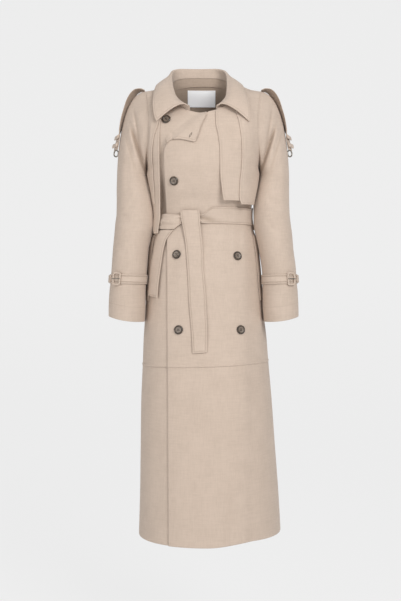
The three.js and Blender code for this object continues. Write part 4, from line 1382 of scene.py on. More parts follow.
def tube_along(name: str, path: Array, across: Array, outward: Array, half_width: float, half_height: float,
               power: float = 2.6, closed: bool = False, sides: int = 20) -> bpy.types.Object:
    """A rounded bar: a superelliptic profile carried along a path, shrunk to poles unless closed.

    Args:
        name: the piece's name.
        path: the middle line's points, in millimetres.
        across: unit vectors along the profile's width.
        outward: unit vectors along the profile's height.
        half_width: half the profile's width.
        half_height: half the profile's height.
        power: how square the profile is.
        closed: whether the path joins itself.
        sides: points round the profile.

    Returns:
        The piece.
    """
    angle = np.arange(sides) * 2 * np.pi / sides
    c, s = np.cos(angle), np.sin(angle)
    u = np.sign(c) * np.abs(c) ** (2 / power) * half_width
    v = np.sign(s) * np.abs(s) ** (2 / power) * half_height
    size = np.ones(len(path))
    if not closed:
        ends = np.array([0.0, 0.55, 0.85])
        size = np.concatenate([ends, size, ends[::-1]])
        lines = (path, across, outward)
        path, across, outward = (np.concatenate([v[:1]] * 3 + [v] + [v[-1:]] * 3) for v in lines)
    profile = across[:, None] * u[None, :, None] + outward[:, None] * v[None, :, None]
    return solid_of(name, path[:, None] + profile * size[:, None, None], poles=not closed)


@dataclass
class Collar:
    """The stand and the pointed fall that turns over it, by stations round the neck."""

    torso: Torso
    stand_share: float = 0.5
    crest_rise: float = 2.6
    crest_turn: float = 6
    crest_spread: float = 18
    stand_raise: float = 0.68
    seam_groove: float = 1.2
    front_end: float = 0.15
    stations: int = 150
    table: Table = field(default_factory=lambda: Table("turn cx cy cz mx my mz ex ey ez lean", [
        (0.0, 0, 79, 82, 0, 93, 57, 0, 103, 8, 13),
        (0.2, 46, 72, 81, 52, 87, 57, 60, 98, 8, 13),
        (0.36, 73, 41, 68, 86, 49, 48, 99, 60, 13, 12),
        (0.5, 79, 1, 44, 97, 1, 38, 117, -2, 20, 10.5),
        (0.64, 77, -46.5, 9.5, 103, -54, 8, 128, -62, -18, 9),
        (0.78, 71, -81, -27, 99, -92, -30, 132, -93, -58, 6),
        (0.9, 54, -98, -52, 88, -109, -51, 131, -105, -87, 3),
        (1.0, 37, -107, -65, 71, -119, -65, 127, -110, -106, 0.5),
    ]))

    def neck(self, turn: Array, sign: Array) -> Array:
        """The neck's edge: the back for turns up to a half, then a front."""
        n = self.torso.neck_turn
        back_turn = sign * clamp(turn * 2) * n
        front = n - (clamp(turn, 0.5, 1) - 0.5) * 2 * (n - self.front_end)
        back = self.torso.panel_point(Panel.BACK, back_turn, self.torso.top_of(Panel.BACK, back_turn))
        loops = {}
        for panel, way in ((Panel.LEFT, 1), (Panel.RIGHT, -1)):
            column = way * front
            loops[way] = self.torso.panel_point(panel, column, self.torso.top_of(panel, column))
        front_loop = np.where((sign > 0)[..., None], loops[1], loops[-1])
        return np.where((turn < 0.5)[..., None], back, front_loop)

    def parts(self, extra: Sequence[float] = ()) -> dict[str, Array]:
        """The stations' points: neck, crest, middle and edge, and the way outwards.

        Args:
            extra: more stations, as shares of the way round.

        Returns:
            The points by name.
        """
        share = 2 * np.unique(np.concatenate([spread(self.stations), extra])) - 1
        turn, sign = np.abs(share), np.where(share < 0, -1.0, 1.0)
        made = {"neck": self.neck(turn, sign)}
        lean = self.table.read("lean", turn)
        for key, name in (("c", "crest"), ("m", "middle"), ("e", "edge")):
            x = sign * self.table.read(key + "x", turn) - lean
            made[name] = points(x, self.table.read(key + "y", turn), self.table.read(key + "z", turn))
        made["middle_x"] = -self.table.read("lean", np.array(0.0))
        crest = made["crest"]
        made["out"] = unit(points(crest[:, 0] + lean, crest[:, 1] + self.crest_spread, 0.0))
        return made

    def stand(self) -> Array:
        """The stand's face, from the neck's edge half way up to the crest."""
        p = self.parts(np.array([0.4955, 0.498, 0.499, 0.5, 0.501, 0.502, 0.5045]))
        up = p["crest"] - p["neck"]
        rows = (spread(16, (0.03, 0.06)) * self.stand_share)[:, None, None]
        wall = p["neck"] + up * rows + unit(up) * self.stand_raise
        groove = self.seam_groove * np.exp(-(((wall[..., 0] - p["middle_x"]) / 1.1) ** 2))
        wall[..., 1] += groove
        return wall

    def fall(self) -> Array:
        """The fall's underside: up from the stand, over the crest and down a parabola to the free edge."""
        p = self.parts()
        start = mix(p["neck"], p["crest"], self.stand_share)
        up = unit(p["crest"] - start)
        rise = spread(10, (0.04, 0.08))[:, None, None]
        inner = mix(start + up * 1.2, p["crest"], rise)
        angle = (np.arange(1, 8) * np.pi / 8)[:, None, None]
        half = self.crest_turn / 2
        over = p["crest"] + p["out"] * half * (1 - np.cos(angle)) + up * self.crest_rise * np.sin(angle)
        start_down = p["crest"] + p["out"] * self.crest_turn
        bend = 2 * p["middle"] - 0.5 * start_down - 0.5 * p["edge"]
        t = spread(36, (0.012, 0.03))[:, None, None]
        down = start_down * (1 - t) ** 2 + bend * 2 * t * (1 - t) + p["edge"] * t**2
        return np.concatenate([inner, over, down])

    def build(self, wardrobe: Wardrobe) -> None:
        """Makes both pieces."""
        cloth = self.torso.cloth
        rim = Rim(start=False, end=False, offset=3)
        # painted shade: the stand's back layer is painted darker, as shade falls inside the collar
        stand = Sheet("cloth_collar_stand", self.stand(), cloth, toward=1, rim=rim, inner_side_shade=0.8)
        wardrobe.sheet(stand, "collar_stand", Held.HUNG, ["cloth_back"])
        fall = Sheet("cloth_collar_fall", self.fall(), cloth, toward=1, rim=Rim(bottom=False))
        wardrobe.sheet(fall, "collar_fall", Held.FOLDED, ["cloth_collar_stand"])


@dataclass
class TurnedCorner:
    """The left front's top corner, turned down over the chest, with its buttonhole."""

    torso: Torso
    table: Table = field(default_factory=lambda: Table("step x0 x1 z1", [
        (0, -100, -96, -166.5), (1, -90, -85, -158), (2, -72, -66, -158), (3, -45, -42, -162.5),
        (4, -24, -23, -166.5), (5, -8, -14, -150), (6, 3, -5, -122), (7, 10, 7, -97),
    ]))
    reach_left: float = 14
    reach_slope: float = 0.9
    below_neck: float = 1.5
    roll_span: Pair = (-6, 24)
    start_lift: float = 0.25
    rest_lift: float = 3
    swell: float = 2.5
    slit: tuple[float, float, float, float] = (-30.5, -144, -36, -153.5)
    slit_half: float = 1.5
    thread_half: Pair = (0.55, 0.4)

    def point(self, step: Array, share: Array) -> Array:
        """A point from the cloth above the roll line to the free edge.

        The sheet leaves the cloth below the neckline and climbs in a soft step over the front's edge.

        Args:
            step: the place along the roll line.
            share: the share of the way down to the free edge.

        Returns:
            The points.
        """
        x0 = self.table.read("x0", step)
        x = mix(x0, self.table.read("x1", step), share)
        roll = self.torso.roll_line(x0)
        above = self.reach_left + self.reach_slope * (x0 - self.table.rows[0, 1])
        top = np.minimum(roll + above, self.torso.neckline(x0) - self.below_neck)
        z = mix(top, self.table.read("z1", step), share)
        climb = 1 - smooth(*self.roll_span, z - roll)
        swell = self.swell * np.sin(clamp((roll - z) / (roll - self.table.read("z1", step))) * 2.2)
        lift = mix(self.start_lift, self.torso.lap_lift + self.rest_lift, climb)
        return self.torso.over(x, z, lift + swell)

    def build(self, wardrobe: Wardrobe) -> None:
        """Makes the corner and the stitched slit in it."""
        step = (spread(70, (0.004, 0.01)) * 7)[:, None]
        share = spread(44, (0.012, 0.03))[None, :]
        sheet = Sheet("cloth_turned_corner", self.point(step, share), self.torso.cloth, rim=Rim(start=False))
        wardrobe.sheet(sheet, "turned_corner", Held.FOLDED, ["cloth_left_front"])
        self.buttonhole(wardrobe)

    def buttonhole(self, wardrobe: Wardrobe) -> None:
        """Makes the closed row of stitches round the slit.

        Args:
            wardrobe: what dresses it.
        """
        x0, z0, x1, z1 = self.slit
        length = math.hypot(x1 - x0, z1 - z0)
        way = np.array([x1 - x0, z1 - z0]) / length
        angle = np.arange(60) * 2 * np.pi / 60
        along = np.cos(angle) * (length / 2 + self.slit_half)
        aside = np.sin(angle) * self.slit_half
        x = (x0 + x1) / 2 + along * way[0] - aside * way[1]
        z = (z0 + z1) / 2 + along * way[1] + aside * way[0]
        lift = self.torso.lap_lift + self.rest_lift + self.swell
        path = self.torso.over(x, z, np.full(x.shape, lift))
        facing = unit(self.torso.over(x, z, np.full(x.shape, lift + 1)) - path)
        run = unit(np.roll(path, -1, axis=0) - np.roll(path, 1, axis=0))
        across = np.cross(run, facing)
        row = tube_along("thread_buttonhole", path, across, facing, *self.thread_half, power=2, closed=True)
        wardrobe.dress(row, "cloth", finish="thread")


@dataclass
class ChestFlap:
    """A flap sewn in at the shoulder that lies on the chest, then hangs freely over the waist."""

    torso: Torso
    node: str
    table: Table
    rests_on: tuple[str, ...]
    hang_from: float = -228
    follow: float = 0.3
    stitched_start: bool = True
    stitched_end: bool = True
    sewn_lift: float = 2.3
    sewn_share: float = 0.4
    sewn_span: Pair = (-245, -215)

    def lift(self, share: Array, z: Array) -> Array:
        """The face's distance from the coat, which is least along an edge that is sewn in."""
        lift = self.table.read("lift", z)
        if self.stitched_start and self.stitched_end:
            return lift
        away = 1 - share if self.stitched_start else share
        sewn = (1 - smooth(0.0, self.sewn_share, away)) * smooth(*self.sewn_span, z)
        return mix(lift, self.sewn_lift, sewn)

    def grid(self) -> Array:
        """The flap's face by rows of equal height."""
        z = mix(self.table.at[0], self.table.at[-1], spread(90, (0.003, 0.008)))[:, None]
        share = spread(28, (0.015, 0.04))[None, :]
        x = mix(self.table.read("x0", z), self.table.read("x1", z), share)
        base = np.where(x > 0, self.torso.lap(x), 0.0)
        lift = base + self.lift(share, z)
        p = self.torso.over(x, z, lift)
        still = self.torso.over(x, np.full(x.shape, self.hang_from), lift)
        free = np.broadcast_to(z, x.shape) <= self.hang_from
        p[..., 1] = np.where(free, mix(still[..., 1], p[..., 1], self.follow), p[..., 1])
        return p

    def build(self, wardrobe: Wardrobe) -> None:
        """Makes the flap."""
        rim = Rim(start=self.stitched_start, end=self.stitched_end, top=False)
        sheet = Sheet("cloth_" + self.node, self.grid(), self.torso.cloth, rim=rim, rows=0.3)
        wardrobe.sheet(sheet, self.node, Held.HUNG, self.rests_on)


def chest_flaps(torso: Torso) -> list[ChestFlap]:
    """The four flaps, by height, inner and outer edge and distance from the coat.

    Args:
        torso: the face that they lie on.

    Returns:
        The flaps.
    """
    names = "z x0 x1 lift"
    inner = Table(names, [
        (-320, 54.5, 116, 3.4), (-290, 50, 114, 3.4), (-240, 45, 112, 3.4), (-190, 44.5, 112, 3.4),
        (-150, 41, 110, 3.4), (-110, 34, 106, 3.4), (-78, 34, 98, 3.6), (-66, 54, 94, 4), (-52, 76, 86, 4),
    ])
    outer = Table(names, [
        (-329, 99, 136, 7), (-308, 94.5, 140, 7), (-270, 96, 148, 7), (-230, 100, 153, 7),
        (-190, 102, 151.5, 7), (-150, 101, 149.5, 6.6), (-112, 96, 149.5, 6.6), (-75, 88, 151, 6.6),
        (-40, 98, 155, 5.6), (-10, 108, 160, 3.4),
    ])
    long = Table(names, [
        (-411, -135, -123, 4), (-395, -137, -121.5, 4), (-360, -137, -116.5, 4), (-325, -138, -117, 4),
        (-270, -140, -118, 3.4), (-230, -140, -119, 3.4), (-190, -140, -119.5, 3.4), (-150, -139, -119, 3.4),
        (-108, -137, -117, 3.4), (-80, -134, -112, 3.4),
    ])
    outer_right = Table(names, [
        (-327, -134, -129.5, 7), (-290, -140, -131, 7), (-260, -147, -133.5, 7), (-230, -152, -135, 7),
        (-190, -151.5, -137, 7), (-150, -149.5, -133, 6.6), (-112, -149.5, -122, 7), (-75, -151, -112, 7),
        (-40, -155, -110, 5), (-10, -160, -112, 3.4),
    ])
    left, right = ("cloth_left_front",), ("cloth_right_front",)
    return [
        ChestFlap(torso, "left_flap_inner", inner, left),
        ChestFlap(torso, "left_flap_outer", outer, left, stitched_end=False),
        ChestFlap(torso, "right_flap_long", long, right),
        ChestFlap(torso, "right_flap_outer", outer_right, right, stitched_start=False),
    ]


@dataclass
class Belt:
    """The band round the waist, its knot, its two tails and the loops that carry it."""

    torso: Torso
    top: float = -338
    bottom: float = -384
    thick: float = 3
    tail_thick: float = 2.4
    stitch_offset: float = 4.5
    gap: float = 1.1
    knot_base: float = 9.2
    gather: Pair = (-7, -362)
    gather_lead: float = 24
    gather_squash: float = 1.4
    gather_rays: float = 9
    gather_phase: float = 0.6
    gather_peak: float = 18
    gather_fade: float = 30
    gather_depth: float = 2.8
    tug_at: float = 50
    tug_depth: float = 0.7
    face_set: float = -0.3
    dip: float = 22
    dip_from: Pair = (-127, -117)
    dip_to: Pair = (-6, 26)
    slants: Pair = (3, -7)
    knot: Table = field(default_factory=lambda: Table("x z0 z1 lift", [
        (-122, -397, -385, 11), (-114, -401, -371, 14), (-105, -402, -356, 16.5), (-92, -403, -356, 18),
        (-78, -402, -358, 18), (-66, -393, -360, 14), (-57, -387, -362, 11.6),
    ]))
    long_tail: Table = field(default_factory=lambda: Table("z x0 x1 lift", [
        (-738, -27, 10, 9), (-700, -29, 11, 9), (-600, -37, 8, 9), (-520, -41, 2, 9), (-450, -46, -2, 10),
        (-410, -51, -5, 12), (-385, -55, -7.5, 14.6), (-362, -58, -8.5, 15.5), (-346, -59, -10, 14.6),
    ]))
    short_tail: Table = field(default_factory=lambda: Table("z x0 x1 lift", [
        (-586, -146.5, -120.5, 9.5), (-540, -144.5, -116.5, 8.5), (-500, -139.5, -112, 8),
        (-460, -134, -106, 8), (-430, -127, -98, 9), (-404.5, -114, -80, 11),
    ]))
    loop_turns: Pair = (1.07, 1.13)
    loop_heights: Pair = (-393, -330)
    loop_thick: float = 2.2

    def around(self, turn: Array, z: Array, more: Array = 0.0) -> Array:
        """A point of the band's face, pushed out from near the middle of the waist."""
        base = self.torso.around(turn, z)
        out = unit(base - points(base[..., 0] * 0.3, 0.0, base[..., 2]))
        lap = np.where(base[..., 1] < 0, self.torso.lap(np.abs(base[..., 0])), 0.0)
        return base + out * (lap + self.gap + self.thick + more)[..., None]

    def gathers(self, x: Array, z: Array) -> Array:
        """The creases that fan out from the knot: a wave round it that fades with the distance."""
        angle = np.arctan2(z - self.gather[1], x - self.gather[0] + self.gather_lead)
        away = np.hypot(x - self.gather[0], (z - self.gather[1]) * self.gather_squash)
        ring = np.exp(-(((away - self.gather_peak) / self.gather_fade) ** 2))
        return np.sin(angle * self.gather_rays + self.gather_phase) * ring

    def band(self) -> tuple[Array, Array]:
        """The ring with the gathers that the knot pulls into it.

        Returns:
            The face's points, and the share of painted shade in each gather's trough.
        """
        turn = (np.arange(300) * 4 / 300 - 2)[None, :]
        front = np.abs(turn) <= 1
        x = self.torso.sections.read("reach", self.top) * np.sin(turn * np.pi / 2)
        dip = self.dip * (smooth(*self.dip_from, x) - smooth(*self.dip_to, x)) * front
        share = spread(26, (0.02, 0.05))[:, None]
        z = mix(self.bottom, self.top - dip, share)
        wave = self.gathers(x, z) * front
        fade = np.exp(-(((x - self.tug_at) / self.tug_at) ** 2))
        tug = np.sin(share * 7.5 + x / 26) * fade * self.tug_depth
        relief = np.where(front, self.gather_depth * wave + tug, 0.0)
        # painted shade: the gathers' troughs get a share of darker colour
        return self.around(turn, z, relief + self.face_set), clamp(-wave * 0.8)

    def tail(self, table: Table, sway: float, slant: float) -> Array:
        """A hanging end: rows between its edges, a slanted end, and a slow ripple down its length.

        Args:
            table: its edges and its distance from the coat, by height.
            sway: the ripple's height.
            slant: how much higher the end's second corner is.

        Returns:
            The face's points.
        """
        share = spread(22, (0.02, 0.05))[None, :]
        low = table.at[0] + slant * (share - 0.5)
        z = mix(low, table.at[-1], spread(110, (0.003, 0.008))[:, None])
        x = mix(table.read("x0", z), table.read("x1", z), share)
        ripple = sway * np.sin((z - table.at[0]) / 46) * (0.4 + share) + 0.5 * np.sin(z / 17 + 3 * share)
        return self.torso.over(x, z, table.read("lift", z) + ripple * smooth(-350, -430, z))

    def knot_layers(self) -> tuple[Array, Array]:
        """The knot, pulled into folds that run to its right end.

        Returns:
            The face's and the flat back's points.
        """
        x = mix(self.knot.at[0], self.knot.at[-1], spread(60, (0.01, 0.03)))[:, None]
        share = spread(44, (0.012, 0.03))[None, :]
        z = mix(self.knot.read("z0", x), self.knot.read("z1", x), share)
        full = np.sin(np.pi * share) ** 0.7
        lift = mix(self.knot_base + 2.4, self.knot.read("lift", x), full)
        reach = (x - self.knot.at[0]) / (self.knot.at[-1] - self.knot.at[0])
        folds = np.sin(share * 13 + reach * 3.4) * 1.9 + np.sin(share * 6 - reach * 4) * 1.5
        face = self.torso.over(x, z, lift + folds * full * (1 - 0.35 * reach) - 0.9 * full)
        return face, self.torso.over(x, z, np.full(z.shape, self.knot_base))

    def build(self, wardrobe: Wardrobe) -> None:
        """Makes the belt's pieces.
        """
        grid, crease_shade = self.band()
        rim = Rim(offset=self.stitch_offset)
        thick = self.thick - 0.5
        band = Sheet("cloth_belt_band", grid, thick, closed=True, rim=rim, rows=0.6, crease_shade=crease_shade)
        wardrobe.sheet(band, "belt_band", Held.GATHERED, ["cloth_back", "cloth_left_front"])
        ends = (
            ("belt_long_tail", self.long_tail, 0.8, self.slants[0]),
            ("belt_short_tail", self.short_tail, 0.6, self.slants[1]),
        )
        for node, table, sway, slant in ends:
            rim = Rim(top=False, offset=self.stitch_offset)
            tail = Sheet("cloth_" + node, self.tail(table, sway, slant), self.tail_thick, rim=rim, rows=0.6)
            wardrobe.sheet(tail, node, Held.HUNG, ["cloth_belt_knot"])
        face, back = self.knot_layers()
        rim = Rim(start=False, end=False, offset=self.stitch_offset)
        knot = Sheet("cloth_belt_knot", face, self.thick, inner=back, rim=rim, rows=0.8)
        wardrobe.dress(knot.make(), "cloth", "belt_knot")
        for side in Side:
            turn = mix(*self.loop_turns, spread(8, (0.05, 0.1)))[None, :] * side.value
            z = mix(*self.loop_heights, spread(30, (0.01, 0.03)))[:, None]
            toward = -1 if side is Side.LEFT else 1
            grid = self.around(turn, z, np.full((1, 1), self.loop_thick + 0.6))
            rim = Rim(top=False, bottom=False, offset=2)
            loop = Sheet(f"cloth_{side.word}_belt_loop", grid, self.loop_thick, toward=toward, rim=rim)
            wardrobe.sheet(loop, side.word + "_belt_loop", Held.LAID, ["cloth_belt_band"])


@dataclass
class PocketWelt:
    """A slanted welt over a side pocket's mouth."""

    torso: Torso
    side: Side
    table: Table = field(default_factory=lambda: Table("z turn0 turn1", [
        (-596, 0.75, 0.905), (-535, 0.745, 0.9), (-473, 0.74, 0.895), (-412, 0.735, 0.89),
    ]))
    lift: float = 3.4

    def build(self, wardrobe: Wardrobe) -> None:
        """Makes the welt."""
        z = mix(self.table.at[0], self.table.at[-1], spread(60, (0.005, 0.015)))[:, None]
        share = spread(20, (0.02, 0.05))[None, :]
        turn = mix(self.table.read("turn0", z), self.table.read("turn1", z), share)
        base = self.torso.point(turn * self.side.value, z, True)
        out = unit(base - points(base[..., 0] * 0.3, 0.0, base[..., 2]))
        toward = -1 if self.side is Side.LEFT else 1
        word = self.side.word
        grid = base + out * self.lift
        rim = Rim(offset=4)
        sheet = Sheet(f"cloth_{word}_pocket_welt", grid, self.torso.cloth, toward=toward, rim=rim)
        wardrobe.sheet(sheet, word + "_pocket_welt", Held.LAID, [f"cloth_{word}_front"])


@dataclass
class ShoulderStrap:
    """A strap that stands off the sleeve's head, with two keepers and a ring below it."""

    side: Side
    width: float = 32
    thick: float = 2.2
    keeper_width: float = 37
    keeper_thick: float = 4.2
    keeper_gap: float = 1.6
    ring_radius: float = 9
    ring_wire: float = 2
    ring_slant: float = -1.1
    ring_at: tuple[float, float, float] = (247, -13, -178)
    path: Table = field(default_factory=lambda: Table("s x y z lean", [
        (0, 166, 0, 3.8, 0), (1, 177, 0, 7, -4), (2, 190, 0, 3.5, -14), (3, 202, 0, -8, -22),
        (4, 212, -1, -25, -22), (5, 222.5, -3, -52, -16), (6, 230.2, -6, -78, -13), (7, 237.6, -8, -110, -4),
        (8, 244, -10, -140, 22), (9, 249.5, -12, -168, 24),
    ]))
    keepers: tuple[tuple[str, float, float], ...] = (("upper", 7.55, 7.95), ("lower", 8.34, 8.78))

    def middle(self, s: Array) -> Array:
        """The middle line."""
        x, y, z = (self.path.read(name, s) for name in "xyz")
        return points(self.side.value * x, y, z)

    def axes(self, s: Array) -> tuple[Array, Array]:
        """Unit vectors across the strap and outwards from it."""
        along = unit(self.middle(s + 0.05) - self.middle(s - 0.05))
        across = unit(np.array([0.0, 1.0, 0.0]) - along * along[..., 1:2])
        sign = self.side.value
        outward = unit(points(-along[..., 2] * sign, 0.0 * along[..., 0], along[..., 0] * sign))
        lean = np.radians(self.path.read("lean", s))[..., None]
        return across * np.cos(lean) + outward * np.sin(lean), outward * np.cos(lean) - across * np.sin(lean)

    def build(self, wardrobe: Wardrobe) -> None:
        """Makes the strap, its keepers and its ring.
        """
        word, sign = self.side.word, self.side.value
        s = (spread(110, (0.003, 0.008)) * 9)[:, None]
        across, outward = self.axes(s)
        u = mix(-self.width / 2, self.width / 2, spread(20, (0.02, 0.05)))[None, :, None]
        grid = self.middle(s) + across * u - outward * 0.15
        rim = Rim(bottom=False, offset=4)
        # painted shade: the strap's inner face is painted dark, standing in for the shadowed gap between
        # strap and sleeve
        strap = Sheet(f"cloth_{word}_shoulder_strap", grid, self.thick, toward=sign, rim=rim, inner_side_shade=1.0)
        wardrobe.sheet(strap, word + "_shoulder_strap", Held.HUNG, [f"cloth_{word}_sleeve"])
        for name, low, high in self.keepers:
            at = np.full(40, (low + high) / 2)
            across, outward = self.axes(at)
            upper, lower = self.middle(np.array([low])), self.middle(np.array([high]))
            half_height = float(np.linalg.norm(lower - upper)) / 2
            run = np.linspace(-1, 1, 40)[:, None] * (self.keeper_width / 2 - 0.2)
            path = self.middle(at) + across * run + outward * (self.keeper_gap + self.keeper_thick / 2)
            along = unit(np.cross(across, outward))
            half_thick = self.keeper_thick / 2
            bar = tube_along(f"cloth_{word}_keeper_{name}", path, along, outward, half_height, half_thick)
            add_plain_uv(bar)
            wardrobe.dress(bar, "cloth", f"{word}_keeper_{name}")
        self.ring(wardrobe)

    def ring(self, wardrobe: Wardrobe) -> None:
        """Makes the ring, a round wire in the strap's plane."""
        word, sign = self.side.word, self.side.value
        normal = unit(np.array([sign, self.ring_slant, 0.0]))
        up = np.array([0.0, 0.0, 1.0])
        flat = np.cross(up, normal)
        angle = (np.arange(72) * 2 * np.pi / 72)[:, None]
        out = flat * np.cos(angle) + up * np.sin(angle)
        centre = np.array([sign * self.ring_at[0], self.ring_at[1], self.ring_at[2]])
        facing = np.broadcast_to(normal, out.shape)
        path = centre + out * self.ring_radius
        wire = (self.ring_wire, self.ring_wire)
        ring = tube_along(word + "_nickel_ring", path, out, facing, *wire, power=2, closed=True)
        wardrobe.dress(ring, "metal", word + "_strap_ring")


def add_plain_uv(thing: bpy.types.Object) -> None:
    """Cloth and rim coordinates for a small piece that has no stitched edge."""
    mesh = thing.data
    co = np.zeros(len(mesh.vertices) * 3, np.float32)
    mesh.vertices.foreach_get("co", co)
    co = co.reshape(-1, 3)
    add_uv(mesh, "cloth", co[:, 1] + co[:, 0], co[:, 2])
    far = np.full(len(co), 0.5)
    add_uv(mesh, "rim", far, far)
    add_uv(mesh, "tone", far * 0, far * 0)


@dataclass
class CuffStrap:
    """A strap round the cuff with a cloth-covered buckle, its pin and the strap's loose tip."""

    sleeve: Sleeve
    top: float = -524
    bottom: float = -550.5
    thick: float = 2.4
    gap: float = 1.3
    tip_turns: Pair = (1.66, 2.12)
    tip_lift: float = 3.2
    buckle_turn: float = 1.35
    buckle_width: float = 29
    buckle_height: float = 37
    bar: float = 5.5
    buckle_thick: float = 3
    pin_radius: float = 1.1

    def build(self, wardrobe: Wardrobe) -> None:
        """Makes the strap, tip, buckle and pin.
        """
        word = self.sleeve.side.word
        outer = self.gap + self.thick
        toward = -1 if self.sleeve.side is Side.LEFT else 1
        turn = (np.arange(144) * 4 / 144)[None, :]
        z = mix(self.bottom, self.top, spread(14, (0.03, 0.07)))[:, None]
        strap = Sheet(
            f"cloth_{word}_cuff_strap", self.sleeve.off(turn, z, outer), self.thick, toward, closed=True,
            rim=Rim(offset=5), rows=1.0,
        )
        wardrobe.sheet(strap, word + "_cuff_strap", Held.LAID, [f"cloth_{word}_sleeve"])
        tip_turn = mix(*self.tip_turns, spread(24, (0.02, 0.05)))[None, :]
        tip_z = mix(self.bottom + 2, self.top - 2, spread(14, (0.03, 0.07)))[:, None]
        tip_grid = self.sleeve.off(tip_turn, tip_z, outer + self.tip_lift)
        tip = Sheet(f"cloth_{word}_cuff_tip", tip_grid, self.thick, toward, rim=Rim(offset=4.5))
        wardrobe.sheet(tip, word + "_cuff_tip", Held.LAID, [f"cloth_{word}_cuff_strap"])
        self.buckle(wardrobe, outer)

    def buckle(self, wardrobe: Wardrobe, outer: float) -> None:
        """Makes the frame, a rounded oblong, and the pin across it.

        Args:
            wardrobe: what dresses them.
            outer: the strap's face, by its distance from the sleeve.
        """
        word = self.sleeve.side.word
        at = np.full(3, self.buckle_turn)
        heights = np.array([(self.top + self.bottom) / 2, self.top, self.bottom])
        seat = self.sleeve.off(at, heights, outer + 0.5)[0]
        normal = unit(self.sleeve.off(at, heights, outer + 5)[0] - seat)
        edges = self.sleeve.off(at, heights, outer)
        flat = unit(np.cross(edges[1] - edges[2], normal))
        up = np.cross(normal, flat)
        angle = np.arange(120) * 2 * np.pi / 120
        c, s = np.cos(angle), np.sin(angle)
        x = np.sign(c) * np.abs(c) ** 0.3 * (self.buckle_width - self.bar) / 2
        y = np.sign(s) * np.abs(s) ** 0.3 * (self.buckle_height - self.bar) / 2
        path = seat + normal * self.buckle_thick / 2 + flat * x[:, None] + up * y[:, None]
        out = unit(flat * (c / self.buckle_width)[:, None] + up * (s / self.buckle_height)[:, None])
        facing = np.broadcast_to(normal, path.shape)
        frame = tube_along(
            f"cloth_{word}_cuff_buckle", path, out, facing, self.bar / 2, self.buckle_thick / 2, closed=True
        )
        add_plain_uv(frame)
        wardrobe.dress(frame, "cloth", word + "_cuff_buckle")
        run = np.linspace(-1, 1, 24)[:, None] * (self.buckle_width / 2 - 1)
        line = seat + normal * (self.buckle_thick + self.pin_radius + 0.4) + flat * run
        axes = (np.broadcast_to(up, line.shape), np.broadcast_to(normal, line.shape))
        pin = tube_along(word + "_nickel_pin", line, *axes, self.pin_radius, self.pin_radius, power=2)
        wardrobe.dress(pin, "metal", word + "_cuff_pin")


@dataclass
class Button:
    """A rimmed four-hole button, square to the cloth under it."""

    torso: Torso
    name: str
    x: float
    z: float
    seat: float
    radius: float = 12.5
    hole_ring: float = 3.1
    hole_radius: float = 1.15
    hole_depth: float = 1.9
    edge_from: float = 10.6
    under_radii: tuple[float, ...] = (12.3, 11.2, 6.0, 0.0)
    thread_radius: float = 0.42

    def profile(self, r: Array) -> Array:
        """The face's height by radius: a dished middle, a rounded rim and a thick edge."""
        dish = 2.6 + 0.3 * smooth(5.5, 8.2, r)
        rim = 1.5 * np.exp(-(((r - 10.1) / 1.25) ** 2))
        away = clamp((r - self.edge_from) / (self.radius - self.edge_from))
        edge = 1.2 * smooth(self.edge_from, self.radius, r)
        return (dish + rim) * np.sqrt(clamp(1 - away**2)) + edge

    def frame(self) -> tuple[Array, Array, Array, Array]:
        """The seat, and unit vectors across, up and out of the cloth."""
        x, z = np.array([self.x]), np.array([self.z])
        seat = self.torso.over(x, z, np.array([self.seat]))[0]
        normal = unit(self.torso.over(x, z, np.array([self.seat + 4.4]))[0] - seat)
        flat = unit(np.cross([0.0, 0.0, 1.0], normal))
        return seat, flat, np.cross(normal, flat), normal

    def build(self, wardrobe: Wardrobe) -> None:
        """Makes the button and the crossed threads in its holes.

        Args:
            wardrobe: what dresses them.
        """
        seat, flat, up, normal = self.frame()
        r = np.concatenate([np.linspace(0, 6, 34), np.linspace(6.2, self.radius, 26)])[:, None]
        angle = (np.arange(96) * 2 * np.pi / 96)[None, :]
        a, b = r * np.cos(angle), r * np.sin(angle)
        near = np.full(a.shape, 99.0)
        for k in range(4):
            turn = math.pi / 4 + k * math.pi / 2
            hole_a, hole_b = self.hole_ring * math.cos(turn), self.hole_ring * math.sin(turn)
            near = np.minimum(near, np.hypot(a - hole_a, b - hole_b))
        pit = 1 - smooth(self.hole_radius - 0.25, self.hole_radius + 0.1, near)
        height = self.profile(r) - self.hole_depth * pit
        under_r = np.array(self.under_radii)[:, None]
        face = seat + a[..., None] * flat + b[..., None] * up + height[..., None] * normal
        low = seat + (under_r * np.cos(angle))[..., None] * flat + (under_r * np.sin(angle))[..., None] * up
        low = low + np.array([0.5, 0.0, 0.0, 0.0])[:, None, None] * normal
        dish = np.broadcast_to(1 - smooth(7.2, 8.8, r), pit.shape)
        mask = np.concatenate([np.stack([pit, dish], axis=-1), np.zeros((4, angle.shape[1], 2))])
        button = solid_of("horn_" + self.name, np.concatenate([face, low]), mask=mask)
        wardrobe.dress(button, "horn", self.name)
        for k in range(2):
            start = math.pi / 4 + k * math.pi / 2
            way = flat * math.cos(start) + up * math.sin(start)
            t = np.linspace(-1, 1, 20)[:, None]
            top = 2.75 + 0.45 * k - 1.5 * np.abs(t) ** 6
            path = seat + way * t * self.hole_ring + normal * top
            sideways = np.broadcast_to(np.cross(normal, way), path.shape)
            facing = np.broadcast_to(normal, path.shape)
            size = (self.thread_radius, self.thread_radius)
            name = f"thread_{self.name}_{k}"
            thread = tube_along(name, path, sideways, facing, *size, power=2, sides=10)
            wardrobe.dress(thread, "cloth", finish="thread")


